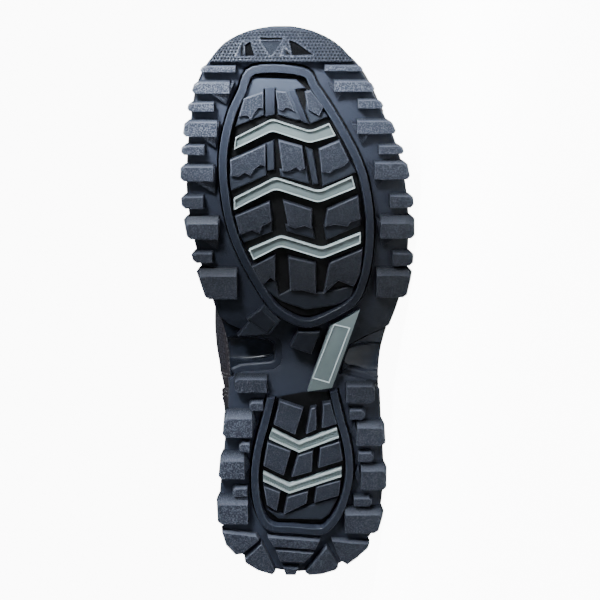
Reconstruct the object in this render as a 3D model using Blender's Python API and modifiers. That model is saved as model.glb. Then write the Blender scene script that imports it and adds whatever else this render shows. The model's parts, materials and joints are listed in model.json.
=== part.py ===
# Lace-up combat boot for the left foot, lying on its outer side.
# It is modelled upright, with x toward the inner (medial) side of the foot, y from the
# heel to the toe and z up from the ground, and one empty then lays it down.

import math
from collections import namedtuple

import bmesh
import bpy
from mathutils import Matrix, Vector
from mathutils.bvhtree import BVHTree

# Overall sizes, in metres
sole_length = 0.300
ball_width = 0.120
boot_height = 0.200

# Outsole
lug_depth = 0.005
plate_thickness = 0.0055
lug_overhang = 0.003
heel_overhang = 0.0018
lug_draft = 0.0007
edge_bevel = 0.0015
toe_spring = 0.017
toe_curl = 0.007
heel_bevel = 0.005
heel_floor_bevel = 0.0025
arch_rise = 0.004
ring_width = 0.0032
ring_level = 0.0010
block_level = 0.0015
groove_margin = 0.0032
block_groove = 0.0033
heel_block_groove = 0.0022

# Inserts of the tread
chevron_level = 0.0010
chevron_rim = 0.0011
chevron_recess = 0.0006
bar_level = 0.0020
bar_rim = 0.0014

# Midsole, with its scoops in the waist openings
midsole_heel = 0.019
midsole_toe = 0.007
welt_ledge = 0.0022
midsole_groove = 0.0018
scoop_gap = 0.0012
scoop_drop = 0.0035
scoop_depth = 0.0035

# Upper and what lies on it or in it
wall = 0.002
collar_wall = 0.006
feather_toe_inset = 0.008
feather_heel_inset = 0.009
feather_width = 0.95
heel_pinch = 0.12
eyestay_width = 0.016
overlay_thickness = 0.0014
overlay_lift = 0.0009
tongue_half_width = 0.030
tongue_thickness = 0.005
tongue_clearance = 0.0015
tongue_rise = 0.012
insole_thickness = 0.003
insole_clearance = 0.0012

# Eyelets and lace
eyelet_pairs = 7
eyelet_radius = 0.0042
eyelet_rim = 0.0012
lace_radius = 0.0016
lace_lift = 0.0030
lace_rise = 0.0010

# Gap between pieces that touch, and the distance at which points are welded
gap = 0.0003
weld_distance = 0.00002

# Places on the sole are counted in 300ths of its length from the heel and in 120ths of the
# ball width from the middle line, heights on the upper in 200ths of the boot's height.
length_steps = 300
width_steps = 120
height_steps = 200

# Places along the sole where its side view changes, in the same steps
spring_start = 205
bumper_start = 284
heel_bevel_end = 24
arch_start = 104
arch_end = 158
heel_zone = 125
thinning_start = 60
pinch_start = 40
pinch_end = 120
full_ledge_width = 20


def along(steps):
    return steps * sole_length / length_steps


def across(steps):
    return steps * ball_width / width_steps


def upward(steps):
    return steps * boot_height / height_steps


def plan(points):
    return [(across(x), along(y)) for x, y in points]


def table(columns, rows):
    row_type = namedtuple("Row", columns)
    return [row_type(*row) for row in rows]


# Edge of the outsole plate between its lugs, from the heel to the toe
outline = table("y medial lateral", [
    (0, 2, -2),
    (2, 17, 15),
    (6, 27, 24.5),
    (13, 36, 33),
    (22, 41.5, 39.5),
    (32, 44, 43.5),
    (46, 44.5, 45.5),
    (62, 43, 46),
    (80, 41, 45),
    (100, 39, 43.5),
    (120, 38.5, 43),
    (140, 40.5, 46),
    (155, 44.5, 50.5),
    (170, 49, 54.5),
    (186, 53.5, 56),
    (202, 56.5, 56),
    (218, 58, 54.5),
    (235, 57.5, 51),
    (250, 56, 45.5),
    (265, 53, 38),
    (276, 49.5, 32),
    (285, 44.5, 25.5),
    (292, 38, 18),
    (297, 28, 8),
    (299.4, 17, -2),
    (300, 8, -8),
])

# Side lugs: a lug with no outer value runs past the edge, and a tail trails back inside
side_lugs = table("side front back inner outer tail", [
    (1, 282.5, 279.5, 32.5, None, 0),
    (1, 275, 269, 33, None, 5),
    (1, 264.5, 260, 43.5, None, 0),
    (1, 255, 247, 41.5, None, 6),
    (1, 242.5, 237.5, 48.5, None, 0),
    (1, 232, 224, 43.5, None, 6),
    (1, 216.5, 210, 49.5, None, 0),
    (1, 205.5, 194, 41.5, None, 4),
    (1, 187, 181.5, 45.5, None, 0),
    (1, 177, 162, 33, None, 0),
    (-1, 283, 280, 12.5, None, 0),
    (-1, 275.5, 270, 16, None, 3),
    (-1, 266, 261.5, 29.5, None, 0),
    (-1, 255.5, 248.5, 30, None, 4),
    (-1, 242.5, 238, 40, None, 0),
    (-1, 234, 225, 38, None, 6),
    (-1, 217, 210.5, 46, None, 0),
    (-1, 206, 194.5, 41.5, None, 5),
    (-1, 187, 180, 48, None, 0),
    (-1, 177, 163, 40.5, None, 0),
    (1, 119.5, 110, 19.5, 35.5, 0),
    (1, 104.5, 99.5, 20, 27, 0),
    (1, 97.3, 84, 26, None, 0),
    (1, 80.5, 75.4, 27.5, 33, 0),
    (1, 73.2, 59, 31.5, None, 0),
    (1, 54, 48.9, 29, 37, 0),
    (1, 46.7, 31.5, 29, None, 0),
    (-1, 114, 104, 25, 40, 0),
    (-1, 100, 94.5, 27, 35, 0),
    (-1, 92.5, 79, 31, None, 0),
    (-1, 75, 69.6, 32, 40, 0),
    (-1, 67.3, 52, 33.5, None, 0),
    (-1, 48, 43, 30, 39.5, 0),
    (-1, 40.8, 25.5, 25, None, 0),
])
lug_flank = 8
lug_foot_share = 0.6

# Lugs at the back of the heel, behind the groove that crosses it
back_lugs = [
    [(43.5, 27), (24.5, 24.5), (23, 22), (32.5, 13), (36, 12.5), (41.5, 19.5)],
    [(21.5, 19.5), (30.5, 10), (30.5, 8), (24, 4), (15.5, 1.2), (14, 3)],
    [(18, 24), (-11, 21.5), (-8.5, 15.8), (14.5, 17.7)],
    [(13.5, 15.3), (-7.5, 13.3), (-2.5, 8), (11, 8.5)],
    [(9.5, 5), (1, 5), (2.5, 0.8), (8, 0.8)],
    [(-15, 17), (-21.5, 6), (-20, 4), (-12, 1.5), (-5, 0.9), (-3, 2.5)],
    [(-18, 21.5), (-38.5, 19.5), (-37.5, 16.5), (-32, 10.8), (-26.5, 7), (-23, 9)],
]

# Raised ring round the forefoot, from its front corner on the medial side round to the other
forefoot_ring = [
    (23.3, 280.5), (29.5, 269.5), (35, 257), (38.7, 240), (38.8, 222), (35.5, 201),
    (28, 181), (15.5, 159.5), (7, 152), (-2, 148.3), (-11, 150), (-27, 159.5), (-32.8, 171),
    (-35.6, 187), (-35.6, 207), (-30.5, 231), (-19, 254), (-7.5, 272), (-1, 279.8),
]
# Open ring of the heel, from its medial end round the back to its lateral end
heel_ring = [
    (15.3, 105.5), (19, 92), (23, 76), (24.8, 60), (24, 46), (20.8, 34.5), (15.5, 29),
    (5, 28.2), (-10.5, 27), (-16, 29.8), (-21.5, 38), (-25.6, 51), (-27.2, 65), (-25.5, 80),
    (-21.3, 96), (-18, 109),
]
ring_samples = 2

# Middle lines of the chevrons, with half of their height on the page and the lean of their
# medial and lateral ends
chevron_table = table("name half medial_lean lateral_lean points", [
    ("forefoot_chevron_1", 3.1, 0.4, 1.6, [(33, 243.2), (14, 252.8), (-5, 246.5), (-16.4, 250.4)]),
    ("forefoot_chevron_2", 2.9, 0, 0.8, [(33.8, 212), (12.5, 222.7), (-9.5, 215.7), (-27.4, 223.2)]),
    ("forefoot_chevron_3", 2.7, -1.2, 0, [(25.3, 185.5), (10, 192.8), (-11.5, 186.2), (-31.3, 194.4)]),
    ("heel_chevron_1", 2.8, 0.7, 0.5, [(16, 85.4), (0.5, 77.5), (-20.6, 86.2)]),
    ("heel_chevron_2", 2.6, 0, 0, [(20.3, 60.2), (5.8, 52.7), (-22.8, 62.9)]),
])
chevrons = {row.name: row for row in chevron_table}

# Rows of blocks inside the rings: what bounds each row in front and behind
block_rows = table("front back fill zone", [
    (270, "forefoot_chevron_1", 1.0, "forefoot"),
    ("forefoot_chevron_1", "forefoot_chevron_2", 0.62, "forefoot"),
    ("forefoot_chevron_2", "forefoot_chevron_3", 0.66, "forefoot"),
    ("forefoot_chevron_3", 162, 0.85, "forefoot"),
    (105, "heel_chevron_1", 1.0, "heel"),
    ("heel_chevron_1", "heel_chevron_2", 1.0, "heel"),
    ("heel_chevron_2", 36, 0.72, "heel"),
])
# Middle lines of the two grooves that part the blocks in each zone
block_grooves = {
    "forefoot": ([(15.2, 270), (14, 235), (11.8, 205), (9, 165)],
                 [(4, 270), (-6.5, 240), (-10, 208), (-11, 165)]),
    "heel": ([(-4, 103), (3, 73), (9, 48), (12, 36)],
             [(-10.8, 103), (-9, 73), (-6.5, 50), (-5, 36)]),
}

# Loose blocks of the waist, the two openings in the waist and the bar beside the outer one
waist_blocks = [
    [(28, 150.5), (20.5, 156.3), (13, 148.8), (17.5, 143)],
    [(1, 143.5), (-10.5, 143.5), (-6, 131), (5, 135)],
]
medial_opening = [
    (75, 153), (42, 151), (33, 144.5), (20, 140.3), (13, 137), (10, 132.5), (10, 127),
    (12.5, 123.3), (20, 122), (31, 122), (37, 117), (75, 115),
]
lateral_opening = [
    (-75, 152), (-47, 145.5), (-35, 139.5), (-26.3, 134.3), (-20.5, 119), (-29, 117.3),
    (-37, 115.2), (-42, 111.5), (-47, 106), (-75, 103),
]
bar_outline = [(-31.5, 155.5), (-16, 146.5), (-4, 109.7), (-17.3, 111.8)]
scoops = table("x y reach_x reach_y", [
    (30, 132, 19, 7.5),
    (-38, 127, 16, 8.5),
])

# Cross-sections of the upper, from the toe over the instep to the collar. Each runs from its
# foot on the feather line or on the back of the heel to its top on the front line.
upper_sections = table("foot_y foot_z top_y top_z width", [
    (292, None, 291.8, 43, 0),
    (290.6, None, 291.2, 50, 16),
    (287, None, 289, 57.5, 26.5),
    (282, None, 284.5, 64.5, 34.5),
    (275, None, 277, 70, 41),
    (265, None, 267, 74.5, 46),
    (252, None, 254, 78.5, 50),
    (238, None, 239, 82, 53.5),
    (224, None, 224, 86, 55.5),
    (209, None, 208, 90.5, 55.5),
    (193, None, 194, 95, 54),
    (176, None, 180, 100, 51.5),
    (158, None, 166, 106, 49),
    (140, None, 152.5, 112.5, 47),
    (121, None, 141, 119.5, 45.5),
    (102, None, 132.5, 127, 44.5),
    (84, None, 126.5, 135, 43.5),
    (66, None, 122.5, 143, 43),
    (49, None, 120.3, 150.5, 42.5),
    (34, None, 119.3, 157, 42),
    (22, None, 119, 163, 41.5),
    (13.5, None, 119.2, 168, 41),
    (9, 31, 119.6, 172.5, 41),
    (5, 46, 120.2, 177, 41),
    (4, 62, 121, 181.5, 41),
    (6, 79, 121.8, 186, 41),
    (9.5, 95, 122.6, 190.5, 41.5),
    (11.5, 111, 123.4, 195, 42.5),
    (10.5, 128, 124.2, 199, 43.5),
    (8.5, 145, 125, 203, 44.5),
    (6.5, 163, 125.8, 207.5, 46),
    (5.5, 180, 126.6, 212, 47),
    (5, 196, 127.4, 216.5, 47.5),
])
throat_row = 9
heel_row = 22
toe_cap_row = 6
counter_rows = (13, 29)
# Side view of the heel counter: places along the foot and heights
counter_outline = [
    (-15, 10), (104, 10), (99, 38), (88, 57), (70, 69), (48, 77), (28, 88), (10, 100), (-15, 106),
]
pad_row = 27
pad_rows = 2
side_columns = 8
stay_columns = 2
slit_profile = [(0, 10), (3, 12), (12, 13), (23, 17)]
side_fullness = 2.5
shaft_fullness = 2.15
eyelet_rows = (10.6, 31.4)
eyelet_inset = 0.0078
lace_slant = 0.5
feather_lean = 0.3
tongue_start = 8
tongue_columns = 6


def interpolate(points, value):
    # Straight-line value at one place of a short list of pairs
    ordered = sorted(points)
    if value <= ordered[0][0]:
        return ordered[0][1]
    for (x0, y0), (x1, y1) in zip(ordered, ordered[1:]):
        if value <= x1:
            return y0 + (y1 - y0) * (value - x0) / (x1 - x0)
    return ordered[-1][1]


def spline(points, samples):
    # Smooth curve through all points, with the given number of steps between two of them
    ends = [2 * Vector(points[0]) - Vector(points[1])]
    ends += [Vector(point) for point in points]
    ends += [2 * Vector(points[-1]) - Vector(points[-2])]
    curve = []
    for before, start, end, after in zip(ends, ends[1:], ends[2:], ends[3:]):
        for step in range(samples):
            t = step / samples
            curve.append(0.5 * (2 * start + (end - before) * t
                                + (2 * before - 5 * start + 4 * end - after) * t ** 2
                                + (3 * start - before - 3 * end + after) * t ** 3))
    curve.append(ends[-2])
    return curve


def offset_path(points, distance, closed):
    # Moves a flat path to its left by one distance, with mitred corners
    moved = []
    count = len(points)
    for index, point in enumerate(points):
        here = Vector(point)
        last = Vector(points[index - 1]) if closed or index else None
        following = Vector(points[(index + 1) % count]) if closed or index < count - 1 else None
        steps = []
        if last is not None:
            steps.append((here - last).normalized())
        if following is not None:
            steps.append((following - here).normalized())
        normals = [Vector((-step.y, step.x)) for step in steps]
        middle = sum(normals, Vector((0, 0))).normalized()
        moved.append(here + middle * distance / max(0.5, middle.dot(normals[0])))
    return moved


def counter_clockwise(points):
    area = sum(a[0] * b[1] - b[0] * a[1] for a, b in zip(points, points[1:] + points[:1]))
    return list(points) if area > 0 else list(reversed(points))


def smooth_step(value):
    value = min(1.0, max(0.0, value))
    return value * value * (3 - 2 * value)


edge_samples = 4
edge_curve = spline([(along(row.y), across(row.medial), across(row.lateral)) for row in outline],
                    edge_samples)
medial_edge = [(point.x, point.y) for point in edge_curve]
lateral_edge = [(point.x, point.z) for point in edge_curve]


def sole_edge(y):
    # Middle and half width of the outsole plate at one place along it
    medial = interpolate(medial_edge, y)
    lateral = interpolate(lateral_edge, y)
    return (medial - lateral) / 2, (medial + lateral) / 2


def spring(y):
    # Rise of the whole sole toward the toe
    start = along(spring_start)
    share = max(0.0, (y - start) / (sole_length - start))
    return toe_spring * share ** 2


def heel_back(y):
    # Rises from 0 at the end of the heel's bevel to 1 at the back of the heel
    return max(0.0, 1 - y / along(heel_bevel_end)) ** 1.5


def tread_plane(y):
    # Height of the lugs' tops
    bumper = along(bumper_start)
    curl = max(0.0, (y - bumper) / (sole_length - bumper))
    return spring(y) + toe_curl * curl ** 2 + heel_bevel * heel_back(y)


def arch(y):
    share = (y - along(arch_start)) / along(arch_end - arch_start)
    if share <= 0 or share >= 1:
        return 0.0
    return arch_rise * math.sin(math.pi * share) ** 2


def tread_floor(y):
    # Height of the plate's underside, between the lugs
    return spring(y) + lug_depth + arch(y) + heel_floor_bevel * heel_back(y)


def plate_top(y):
    return spring(y) + lug_depth + plate_thickness + arch(y)


def midsole_top(y):
    # The midsole thins out toward the toe, and its top passes straight over the arch
    start = along(thinning_start)
    share = smooth_step((y - start) / (sole_length - start))
    thickness = midsole_heel + (midsole_toe - midsole_heel) * share
    return spring(y) + lug_depth + plate_thickness + gap + thickness


def seat_height(y):
    # Height of the midsole's faceted top face
    stations = [top_station(station) for station in sole_stations()]
    return interpolate([(station, midsole_top(station)) for station in stations], y)


def material(name, colour, roughness, metallic=0.0):
    made = bpy.data.materials.new(name)
    made.use_nodes = True
    shader = made.node_tree.nodes["Principled BSDF"]
    shader.inputs["Base Color"].default_value = (*colour, 1)
    shader.inputs["Roughness"].default_value = roughness
    shader.inputs["Metallic"].default_value = metallic
    made.diffuse_color = (*colour, 1)
    return made


def add_object(name, mesh_data, collection, finish=None):
    mesh = bpy.data.meshes.new(name)
    bmesh.ops.recalc_face_normals(mesh_data, faces=mesh_data.faces)
    mesh_data.to_mesh(mesh)
    mesh_data.free()
    thing = bpy.data.objects.new(name, mesh)
    collection.objects.link(thing)
    if finish is not None:
        mesh.materials.append(finish)
    return thing


def apply_modifiers(thing):
    # Bakes the modifiers into the mesh, so that the next cut starts from it
    graph = bpy.context.evaluated_depsgraph_get()
    mesh = bpy.data.meshes.new_from_object(thing.evaluated_get(graph))
    thing.modifiers.clear()
    thing.data = mesh


def combine(thing, other, operation):
    other.hide_render = True
    other.display_type = "WIRE"
    cut = thing.modifiers.new(operation.title(), "BOOLEAN")
    cut.operation = operation
    cut.object = other
    cut.solver = "EXACT"
    apply_modifiers(thing)


def loft(mesh_data, sections):
    # Skins a row of closed sections and caps both ends
    rings = [[mesh_data.verts.new(point) for point in section] for section in sections]
    for ring, following in zip(rings, rings[1:]):
        count = len(ring)
        for index in range(count):
            after = (index + 1) % count
            mesh_data.faces.new((ring[index], ring[after], following[after], following[index]))
    mesh_data.faces.new(rings[0])
    mesh_data.faces.new(rings[-1])


def layered_block(mesh_data, layers, heights):
    # Stacks one outline over the next; a height is a function of the place along the foot
    sections = []
    for layer, height in zip(layers, heights):
        sections.append([(x, y, height(y)) for x, y in layer])
    loft(mesh_data, sections)


def tread_block(mesh_data, points, level):
    # A lug's body: its top lies on the tread plane and its foot is sunk in the plate
    top = counter_clockwise(points)
    foot = offset_path(top, -lug_draft, True)
    layered_block(mesh_data, [top, foot],
                  [lambda y: tread_plane(y) + level, lambda y: tread_floor(y) + edge_bevel])


def side_lug(mesh_data, lug):
    heel = lug.front < heel_zone
    overhang = heel_overhang if heel else lug_overhang
    edge = 1 if lug.side > 0 else -1

    def reach(steps, extra):
        if lug.outer is not None:
            return edge * across(lug.outer)
        middle, half = sole_edge(along(steps))
        return middle + edge * (half + extra)

    inner = across(lug.inner) * edge
    flank = across(lug.inner + lug_flank) * edge
    layers = []
    for extra in (overhang - edge_bevel, overhang, 0.4 * overhang):
        layer = [(reach(lug.front, extra), along(lug.front)), (inner, along(lug.front))]
        if lug.tail:
            layer += [(inner, along(lug.back - lug.tail)), (flank, along(lug.back))]
        else:
            layer.append((inner, along(lug.back)))
        layer.append((reach(lug.back, extra), along(lug.back)))
        layers.append(counter_clockwise(layer))
    if lug.outer is not None:
        tread_block(mesh_data, layers[0], 0)
        return
    layers = [offset_path(layer, -lug_draft * share, True)
              for layer, share in zip(layers, (0, lug_foot_share, 1))]
    layered_block(mesh_data, layers, [
        tread_plane,
        lambda y: tread_plane(y) + lug_foot_share * lug_depth,
        lambda y: plate_top(y) - gap,
    ])


def ridge(mesh_data, path, closed):
    # A raised band along a path, narrower at its top than at its foot
    outer_top = offset_path(path, ring_width / 2, closed)
    inner_top = offset_path(path, -ring_width / 2, closed)
    outer_foot = offset_path(path, ring_width / 2 + lug_draft, closed)
    inner_foot = offset_path(path, -ring_width / 2 - lug_draft, closed)
    sections = []
    for corners in zip(outer_top, inner_top, inner_foot, outer_foot):
        tops = [(x, y, tread_plane(y) + ring_level) for x, y in corners[:2]]
        feet = [(x, y, tread_floor(y) + edge_bevel) for x, y in corners[2:]]
        sections.append(tops + feet)
    if not closed:
        loft(mesh_data, sections)
        return
    rings = [[mesh_data.verts.new(point) for point in section] for section in sections]
    for ring, following in zip(rings, rings[1:] + rings[:1]):
        for index in range(4):
            after = (index + 1) % 4
            mesh_data.faces.new((ring[index], ring[after], following[after], following[index]))


def ring_path(points):
    return [(point.x, point.y) for point in spline(plan(points), ring_samples)]


def chevron_line(name):
    row = chevrons[name]
    return along(row.half), plan(row.points)


def chevron_y(name, x):
    return interpolate(chevron_line(name)[1], x)


def block_outlines():
    # Each row of blocks lies between two chevrons, parted by the zone's grooves
    rings = {"forefoot": ring_path(forefoot_ring), "heel": ring_path(heel_ring)}
    halves = {"forefoot": block_groove, "heel": heel_block_groove}
    outlines = []
    for row in block_rows:
        ring = rings[row.zone]
        margin = ring_width / 2 + lug_draft + 0.6 * groove_margin
        lowest = min(range(len(ring)), key=lambda index: ring[index][1])
        medial = [(y, x - margin) for x, y in ring[:lowest]]
        lateral = [(y, x + margin) for x, y in ring[lowest + 1:]]
        grooves = [[(along(y), across(x)) for x, y in line] for line in block_grooves[row.zone]]
        half = halves[row.zone]

        def bound(edge, x, sign):
            if isinstance(edge, str):
                return chevron_y(edge, x) + sign * (chevron_line(edge)[0] + groove_margin)
            return along(edge)

        def corner(line, side, place):
            # Where a row's front or back edge meets one side line of a block
            y = bound(row.front, 0, -1) if place == "front" else bound(row.back, 0, 1)
            for _ in range(4):
                x = interpolate(line, y) + side
                front = bound(row.front, x, -1)
                back = front - row.fill * (front - bound(row.back, x, 1))
                y = front if place == "front" else back
            return x, y

        sides = [(medial, 0), (grooves[0], half), (grooves[0], -half),
                 (grooves[1], half), (grooves[1], -half), (lateral, 0)]
        for left, right in (sides[0:2], sides[2:4], sides[4:6]):
            outlines.append([corner(*left, "front"), corner(*right, "front"),
                             corner(*right, "back"), corner(*left, "back")])
    return outlines


def sole_stations():
    # Places along the sole, close together at both ends and at the toe groove
    steps = [0.15, 0.8, 2.2, 5, 9, 15, 22, 32, 46, 62, 80, 98, 112, 122, 132, 142, 154, 168,
             184, 202, 220, 236, 250, 262, 272, 279, 283.4, 284.8, 289, 293, 296.5, 298.8, 299.8]
    return [along(step) for step in steps]


def build_outsole(collection, cutters, finish):
    sections = []
    for y in sole_stations():
        middle, half = sole_edge(y)
        bumper = y > along(bumper_start)
        low = tread_plane(y) if bumper else tread_floor(y)
        high = plate_top(y)
        bevel = min(edge_bevel, 0.4 * half)
        side = [(half - bevel, low), (half, low + bevel), (half + 0.3 * bevel, high - bevel),
                (half - 0.3 * bevel, high)]
        section = [(middle + x, y, z) for x, z in side]
        section += [(middle - x, y, z) for x, z in reversed(side)]
        sections.append(section)
    base = bmesh.new()
    loft(base, sections)
    outsole = add_object("outsole", base, collection, finish)

    rings = bmesh.new()
    ridge(rings, ring_path(forefoot_ring), True)
    ridge(rings, ring_path(heel_ring), False)
    for points in block_outlines():
        tread_block(rings, points, block_level)
    combine(outsole, add_object("rings", rings, cutters), "UNION")

    lugs = bmesh.new()
    for lug in side_lugs:
        side_lug(lugs, lug)
    for points in back_lugs:
        tread_block(lugs, plan(points), 0)
    for points in waist_blocks:
        tread_block(lugs, plan(points), block_level)
    combine(outsole, add_object("lugs", lugs, cutters), "UNION")

    openings = bmesh.new()
    for points in (medial_opening, lateral_opening):
        layered_block(openings, [plan(points), plan(points)],
                      [lambda y: -lug_depth, lambda y: plate_top(y) + lug_depth])
    combine(outsole, add_object("waist_openings", openings, cutters), "DIFFERENCE")


def insert(name, points, low, rim, collection, finish):
    # A plate on the tread floor, with a rim round its face
    mesh_data = bmesh.new()
    face_points = counter_clockwise(points)
    layered_block(mesh_data, [face_points, face_points],
                  [lambda y: tread_plane(y) + low, lambda y: tread_floor(y) - gap])
    bmesh.ops.recalc_face_normals(mesh_data, faces=mesh_data.faces)
    face = max(mesh_data.faces, key=lambda item: -item.normal.z)
    bmesh.ops.inset_individual(mesh_data, faces=[face], thickness=rim, depth=0.0,
                               use_even_offset=True)
    for vertex in face.verts:
        vertex.co.z += chevron_recess
    add_object(name, mesh_data, collection, finish)


def build_inserts(collection, finish):
    for name, row in chevrons.items():
        half, line = chevron_line(name)
        leans = [-across(row.medial_lean)] + [0] * (len(line) - 2) + [across(row.lateral_lean)]
        front = [(x + lean, y + half) for (x, y), lean in zip(line, leans)]
        back = [(x - lean, y - half) for (x, y), lean in zip(line, leans)]
        insert(name, front + back[::-1], chevron_level, chevron_rim, collection, finish)
    insert("waist_bar", plan(bar_outline), bar_level, bar_rim, collection, finish)


def build_midsole(collection, cutters, finish):
    sections = []
    for y in sole_stations():
        middle, half = sole_edge(y)
        low = plate_top(y) + gap
        top_y = top_station(y)
        top_middle, top_half = feather_edge(top_y, welt_ledge)
        high = midsole_top(top_y)
        rise = high - low
        groove = min(midsole_groove, 0.3 * half)
        side = []
        for share, inset in ((0, 0.4), (0.3, 0), (0.5, 0.1), (0.56, 1), (0.66, 0.8)):
            blend = share ** 2
            x = half * (1 - blend) + top_half * blend - inset * groove
            x_middle = middle * (1 - blend) + top_middle * blend
            side.append((x, x_middle, y * (1 - blend) + top_y * blend, low + share * rise))
        side.append((top_half, top_middle, top_y, high))
        section = [(x_middle + x, place, z) for x, x_middle, place, z in side]
        section += [(x_middle - x, place, z) for x, x_middle, place, z in reversed(side)]
        sections.append(section)
    body = bmesh.new()
    loft(body, sections)
    midsole = add_object("midsole", body, collection, finish)

    # The scoops come down into the waist openings and are dished underneath
    slab = bmesh.new()
    slab_sections = []
    for y in sole_stations():
        middle, half = sole_edge(y)
        inset = min(0.5 * edge_bevel, 0.3 * half)
        low = plate_top(y) - scoop_drop
        high = plate_top(y) + gap + edge_bevel
        slab_sections.append([(middle + half - inset, y, low), (middle + half - inset, y, high),
                              (middle - half + inset, y, high), (middle - half + inset, y, low)])
    loft(slab, slab_sections)
    pads = add_object("scoop_pads", slab, cutters)
    openings = bmesh.new()
    for points in (medial_opening, lateral_opening):
        outline_points = offset_path(counter_clockwise(plan(points)), scoop_gap, True)
        layered_block(openings, [outline_points, outline_points],
                      [lambda y: -lug_depth, lambda y: plate_top(y) + 2 * lug_depth])
    combine(pads, add_object("scoop_outlines", openings, cutters), "INTERSECT")
    combine(midsole, pads, "UNION")
    dishes = bmesh.new()
    for row in scoops:
        y = along(row.y)
        place = Matrix.Translation((across(row.x), y, plate_top(y) - scoop_drop))
        size = Matrix.Diagonal((across(row.reach_x), along(row.reach_y), scoop_depth, 1))
        bmesh.ops.create_uvsphere(dishes, u_segments=16, v_segments=8, radius=1,
                                  matrix=place @ size)
    combine(midsole, add_object("scoop_dishes", dishes, cutters), "DIFFERENCE")


def top_station(y):
    # Where a cross-section of the sole ends on the midsole's top face
    return feather_heel_inset - welt_ledge + y * feather_span(2 * welt_ledge) / sole_length


def feather_span(extra=0.0):
    return sole_length - feather_toe_inset - feather_heel_inset + extra


def feather_edge(y, ledge=0.0):
    # Middle and half width of the last's edge; a ledge widens it all round
    start = feather_heel_inset - ledge
    share = (y - start) / feather_span(2 * ledge)
    middle, half = sole_edge(min(max(share, 0.0), 1.0) * sole_length)
    pinch = 1 - smooth_step((y - along(pinch_start)) / along(pinch_end - pinch_start))
    half = half * (feather_width - heel_pinch * pinch)
    return middle, half + ledge * smooth_step(half / across(full_ledge_width))


def section_line(index):
    # The numbers of one cross-section of the upper, in metres
    row = upper_sections[index]
    foot_y = along(row.foot_y)
    foot_z = upward(row.foot_z) if row.foot_z is not None else seat_height(foot_y) + gap
    foot = Vector((foot_y, foot_z))
    top = Vector((along(row.top_y), upward(row.top_z)))
    share = smooth_step((index - throat_row) / (heel_row - throat_row))
    fullness = side_fullness + (shaft_fullness - side_fullness) * share
    middle, half = feather_edge(foot_y)
    middle *= 1 - share
    width = across(row.width)
    return foot, top, width, fullness, middle, half


def section_point(index, side, angle):
    # A point of a cross-section: angle runs from the foot to the top of the front line
    foot, top, width, fullness, middle, half = section_line(index)
    if index >= heel_row:
        start = -math.pi / 2
    elif width <= half:
        start = 0.0
    else:
        start = -math.acos((half / width) ** (fullness / 2))

    def climb(value):
        size = abs(math.sin(value)) ** (2 / fullness)
        return math.copysign(size, value)

    angle = max(angle, start)
    share = (climb(angle) - climb(start)) / (1 - climb(start))
    x = width * max(0.0, math.cos(angle)) ** (2 / fullness)
    place = foot + (top - foot) * share
    return Vector((middle + side * x, place.x, place.y))


def angle_at(index, reach):
    # The angle on the upper part of a section where it is this far from its middle
    _, _, width, fullness, _, _ = section_line(index)
    if width <= reach:
        return 0.0
    return math.acos((reach / width) ** (fullness / 2))


def slit_reach(index):
    if index <= throat_row:
        return 0.0
    return across(interpolate(slit_profile, index - throat_row - 1))


def section_angles(index):
    _, _, width, fullness, _, half = section_line(index)
    if index >= heel_row:
        start = -math.pi / 2
    elif width <= half or width == 0:
        start = 0.0
    else:
        start = -math.acos((half / width) ** (fullness / 2))
    slit = slit_reach(index)
    stay = angle_at(index, min(slit + eyestay_width, slit + 0.45 * (width - slit)))
    end = math.pi / 2 if slit == 0 else angle_at(index, slit)
    angles = [start + (stay - start) * step / side_columns for step in range(side_columns + 1)]
    angles += [stay + (end - stay) * (step + 1) / stay_columns for step in range(stay_columns)]
    return angles


def upper_grid():
    # One grid of points for each side of the upper's outer face
    grids = {}
    for side in (1, -1):
        rows = range(len(upper_sections))
        grids[side] = [[section_point(index, side, angle) for angle in section_angles(index)]
                       for index in rows]
    return grids


def grid_normals(grid, side):
    # Outward direction at every point of one side's grid
    normals = []
    rows, columns = len(grid), len(grid[0])
    for i in range(rows):
        line = []
        for j in range(columns):
            down = grid[min(i + 1, rows - 1)][j] - grid[max(i - 1, 0)][j]
            over = grid[i][min(j + 1, columns - 1)] - grid[i][max(j - 1, 0)]
            normal = over.cross(down) * side
            middle = (slit_reach(i) == 0 and j == columns - 1) or (i >= heel_row and j == 0)
            if middle or i == 0:
                normal.x = 0
            if j == 0 and i <= heel_row:
                normal.z = feather_lean * normal.to_2d().length
            line.append(normal.normalized())
        normals.append(line)
    normals[0] = [Vector((0, 1, feather_lean)).normalized() for _ in normals[0]]
    return normals


def turned_over(corners):
    # The same four corners the other way round, from the same first corner
    return [corners[0], corners[3], corners[2], corners[1]]


def skin(mesh_data, grids, rows, columns):
    # The upper's outer face as an open sheet; returns its vertices by place
    corners = {}
    for side in (1, -1):
        for i in rows:
            for j in columns:
                corners[side, i, j] = mesh_data.verts.new(grids[side][i][j])
        for i, following in zip(rows, rows[1:]):
            for j, after in zip(columns, columns[1:]):
                face = [corners[side, i, j], corners[side, i, after],
                        corners[side, following, after], corners[side, following, j]]
                mesh_data.faces.new(face if side > 0 else turned_over(face))
    return corners


def weld_and_split(mesh_data):
    # Welds the two sides and splits every cell the same way, so that forms stay parallel
    bmesh.ops.remove_doubles(mesh_data, verts=mesh_data.verts, dist=weld_distance)
    bmesh.ops.triangulate(mesh_data, faces=mesh_data.faces, quad_method="FIXED")


def wall_inward(name, mesh_data, thickness, collection, finish):
    # Makes an object of an open sheet and gives it a wall on its inner side
    mesh = bpy.data.meshes.new(name)
    mesh_data.to_mesh(mesh)
    mesh_data.free()
    thing = bpy.data.objects.new(name, mesh)
    collection.objects.link(thing)
    mesh.materials.append(finish)
    solid = thing.modifiers.new("Wall", "SOLIDIFY")
    solid.thickness = thickness
    solid.offset = -1
    return thing


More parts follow.
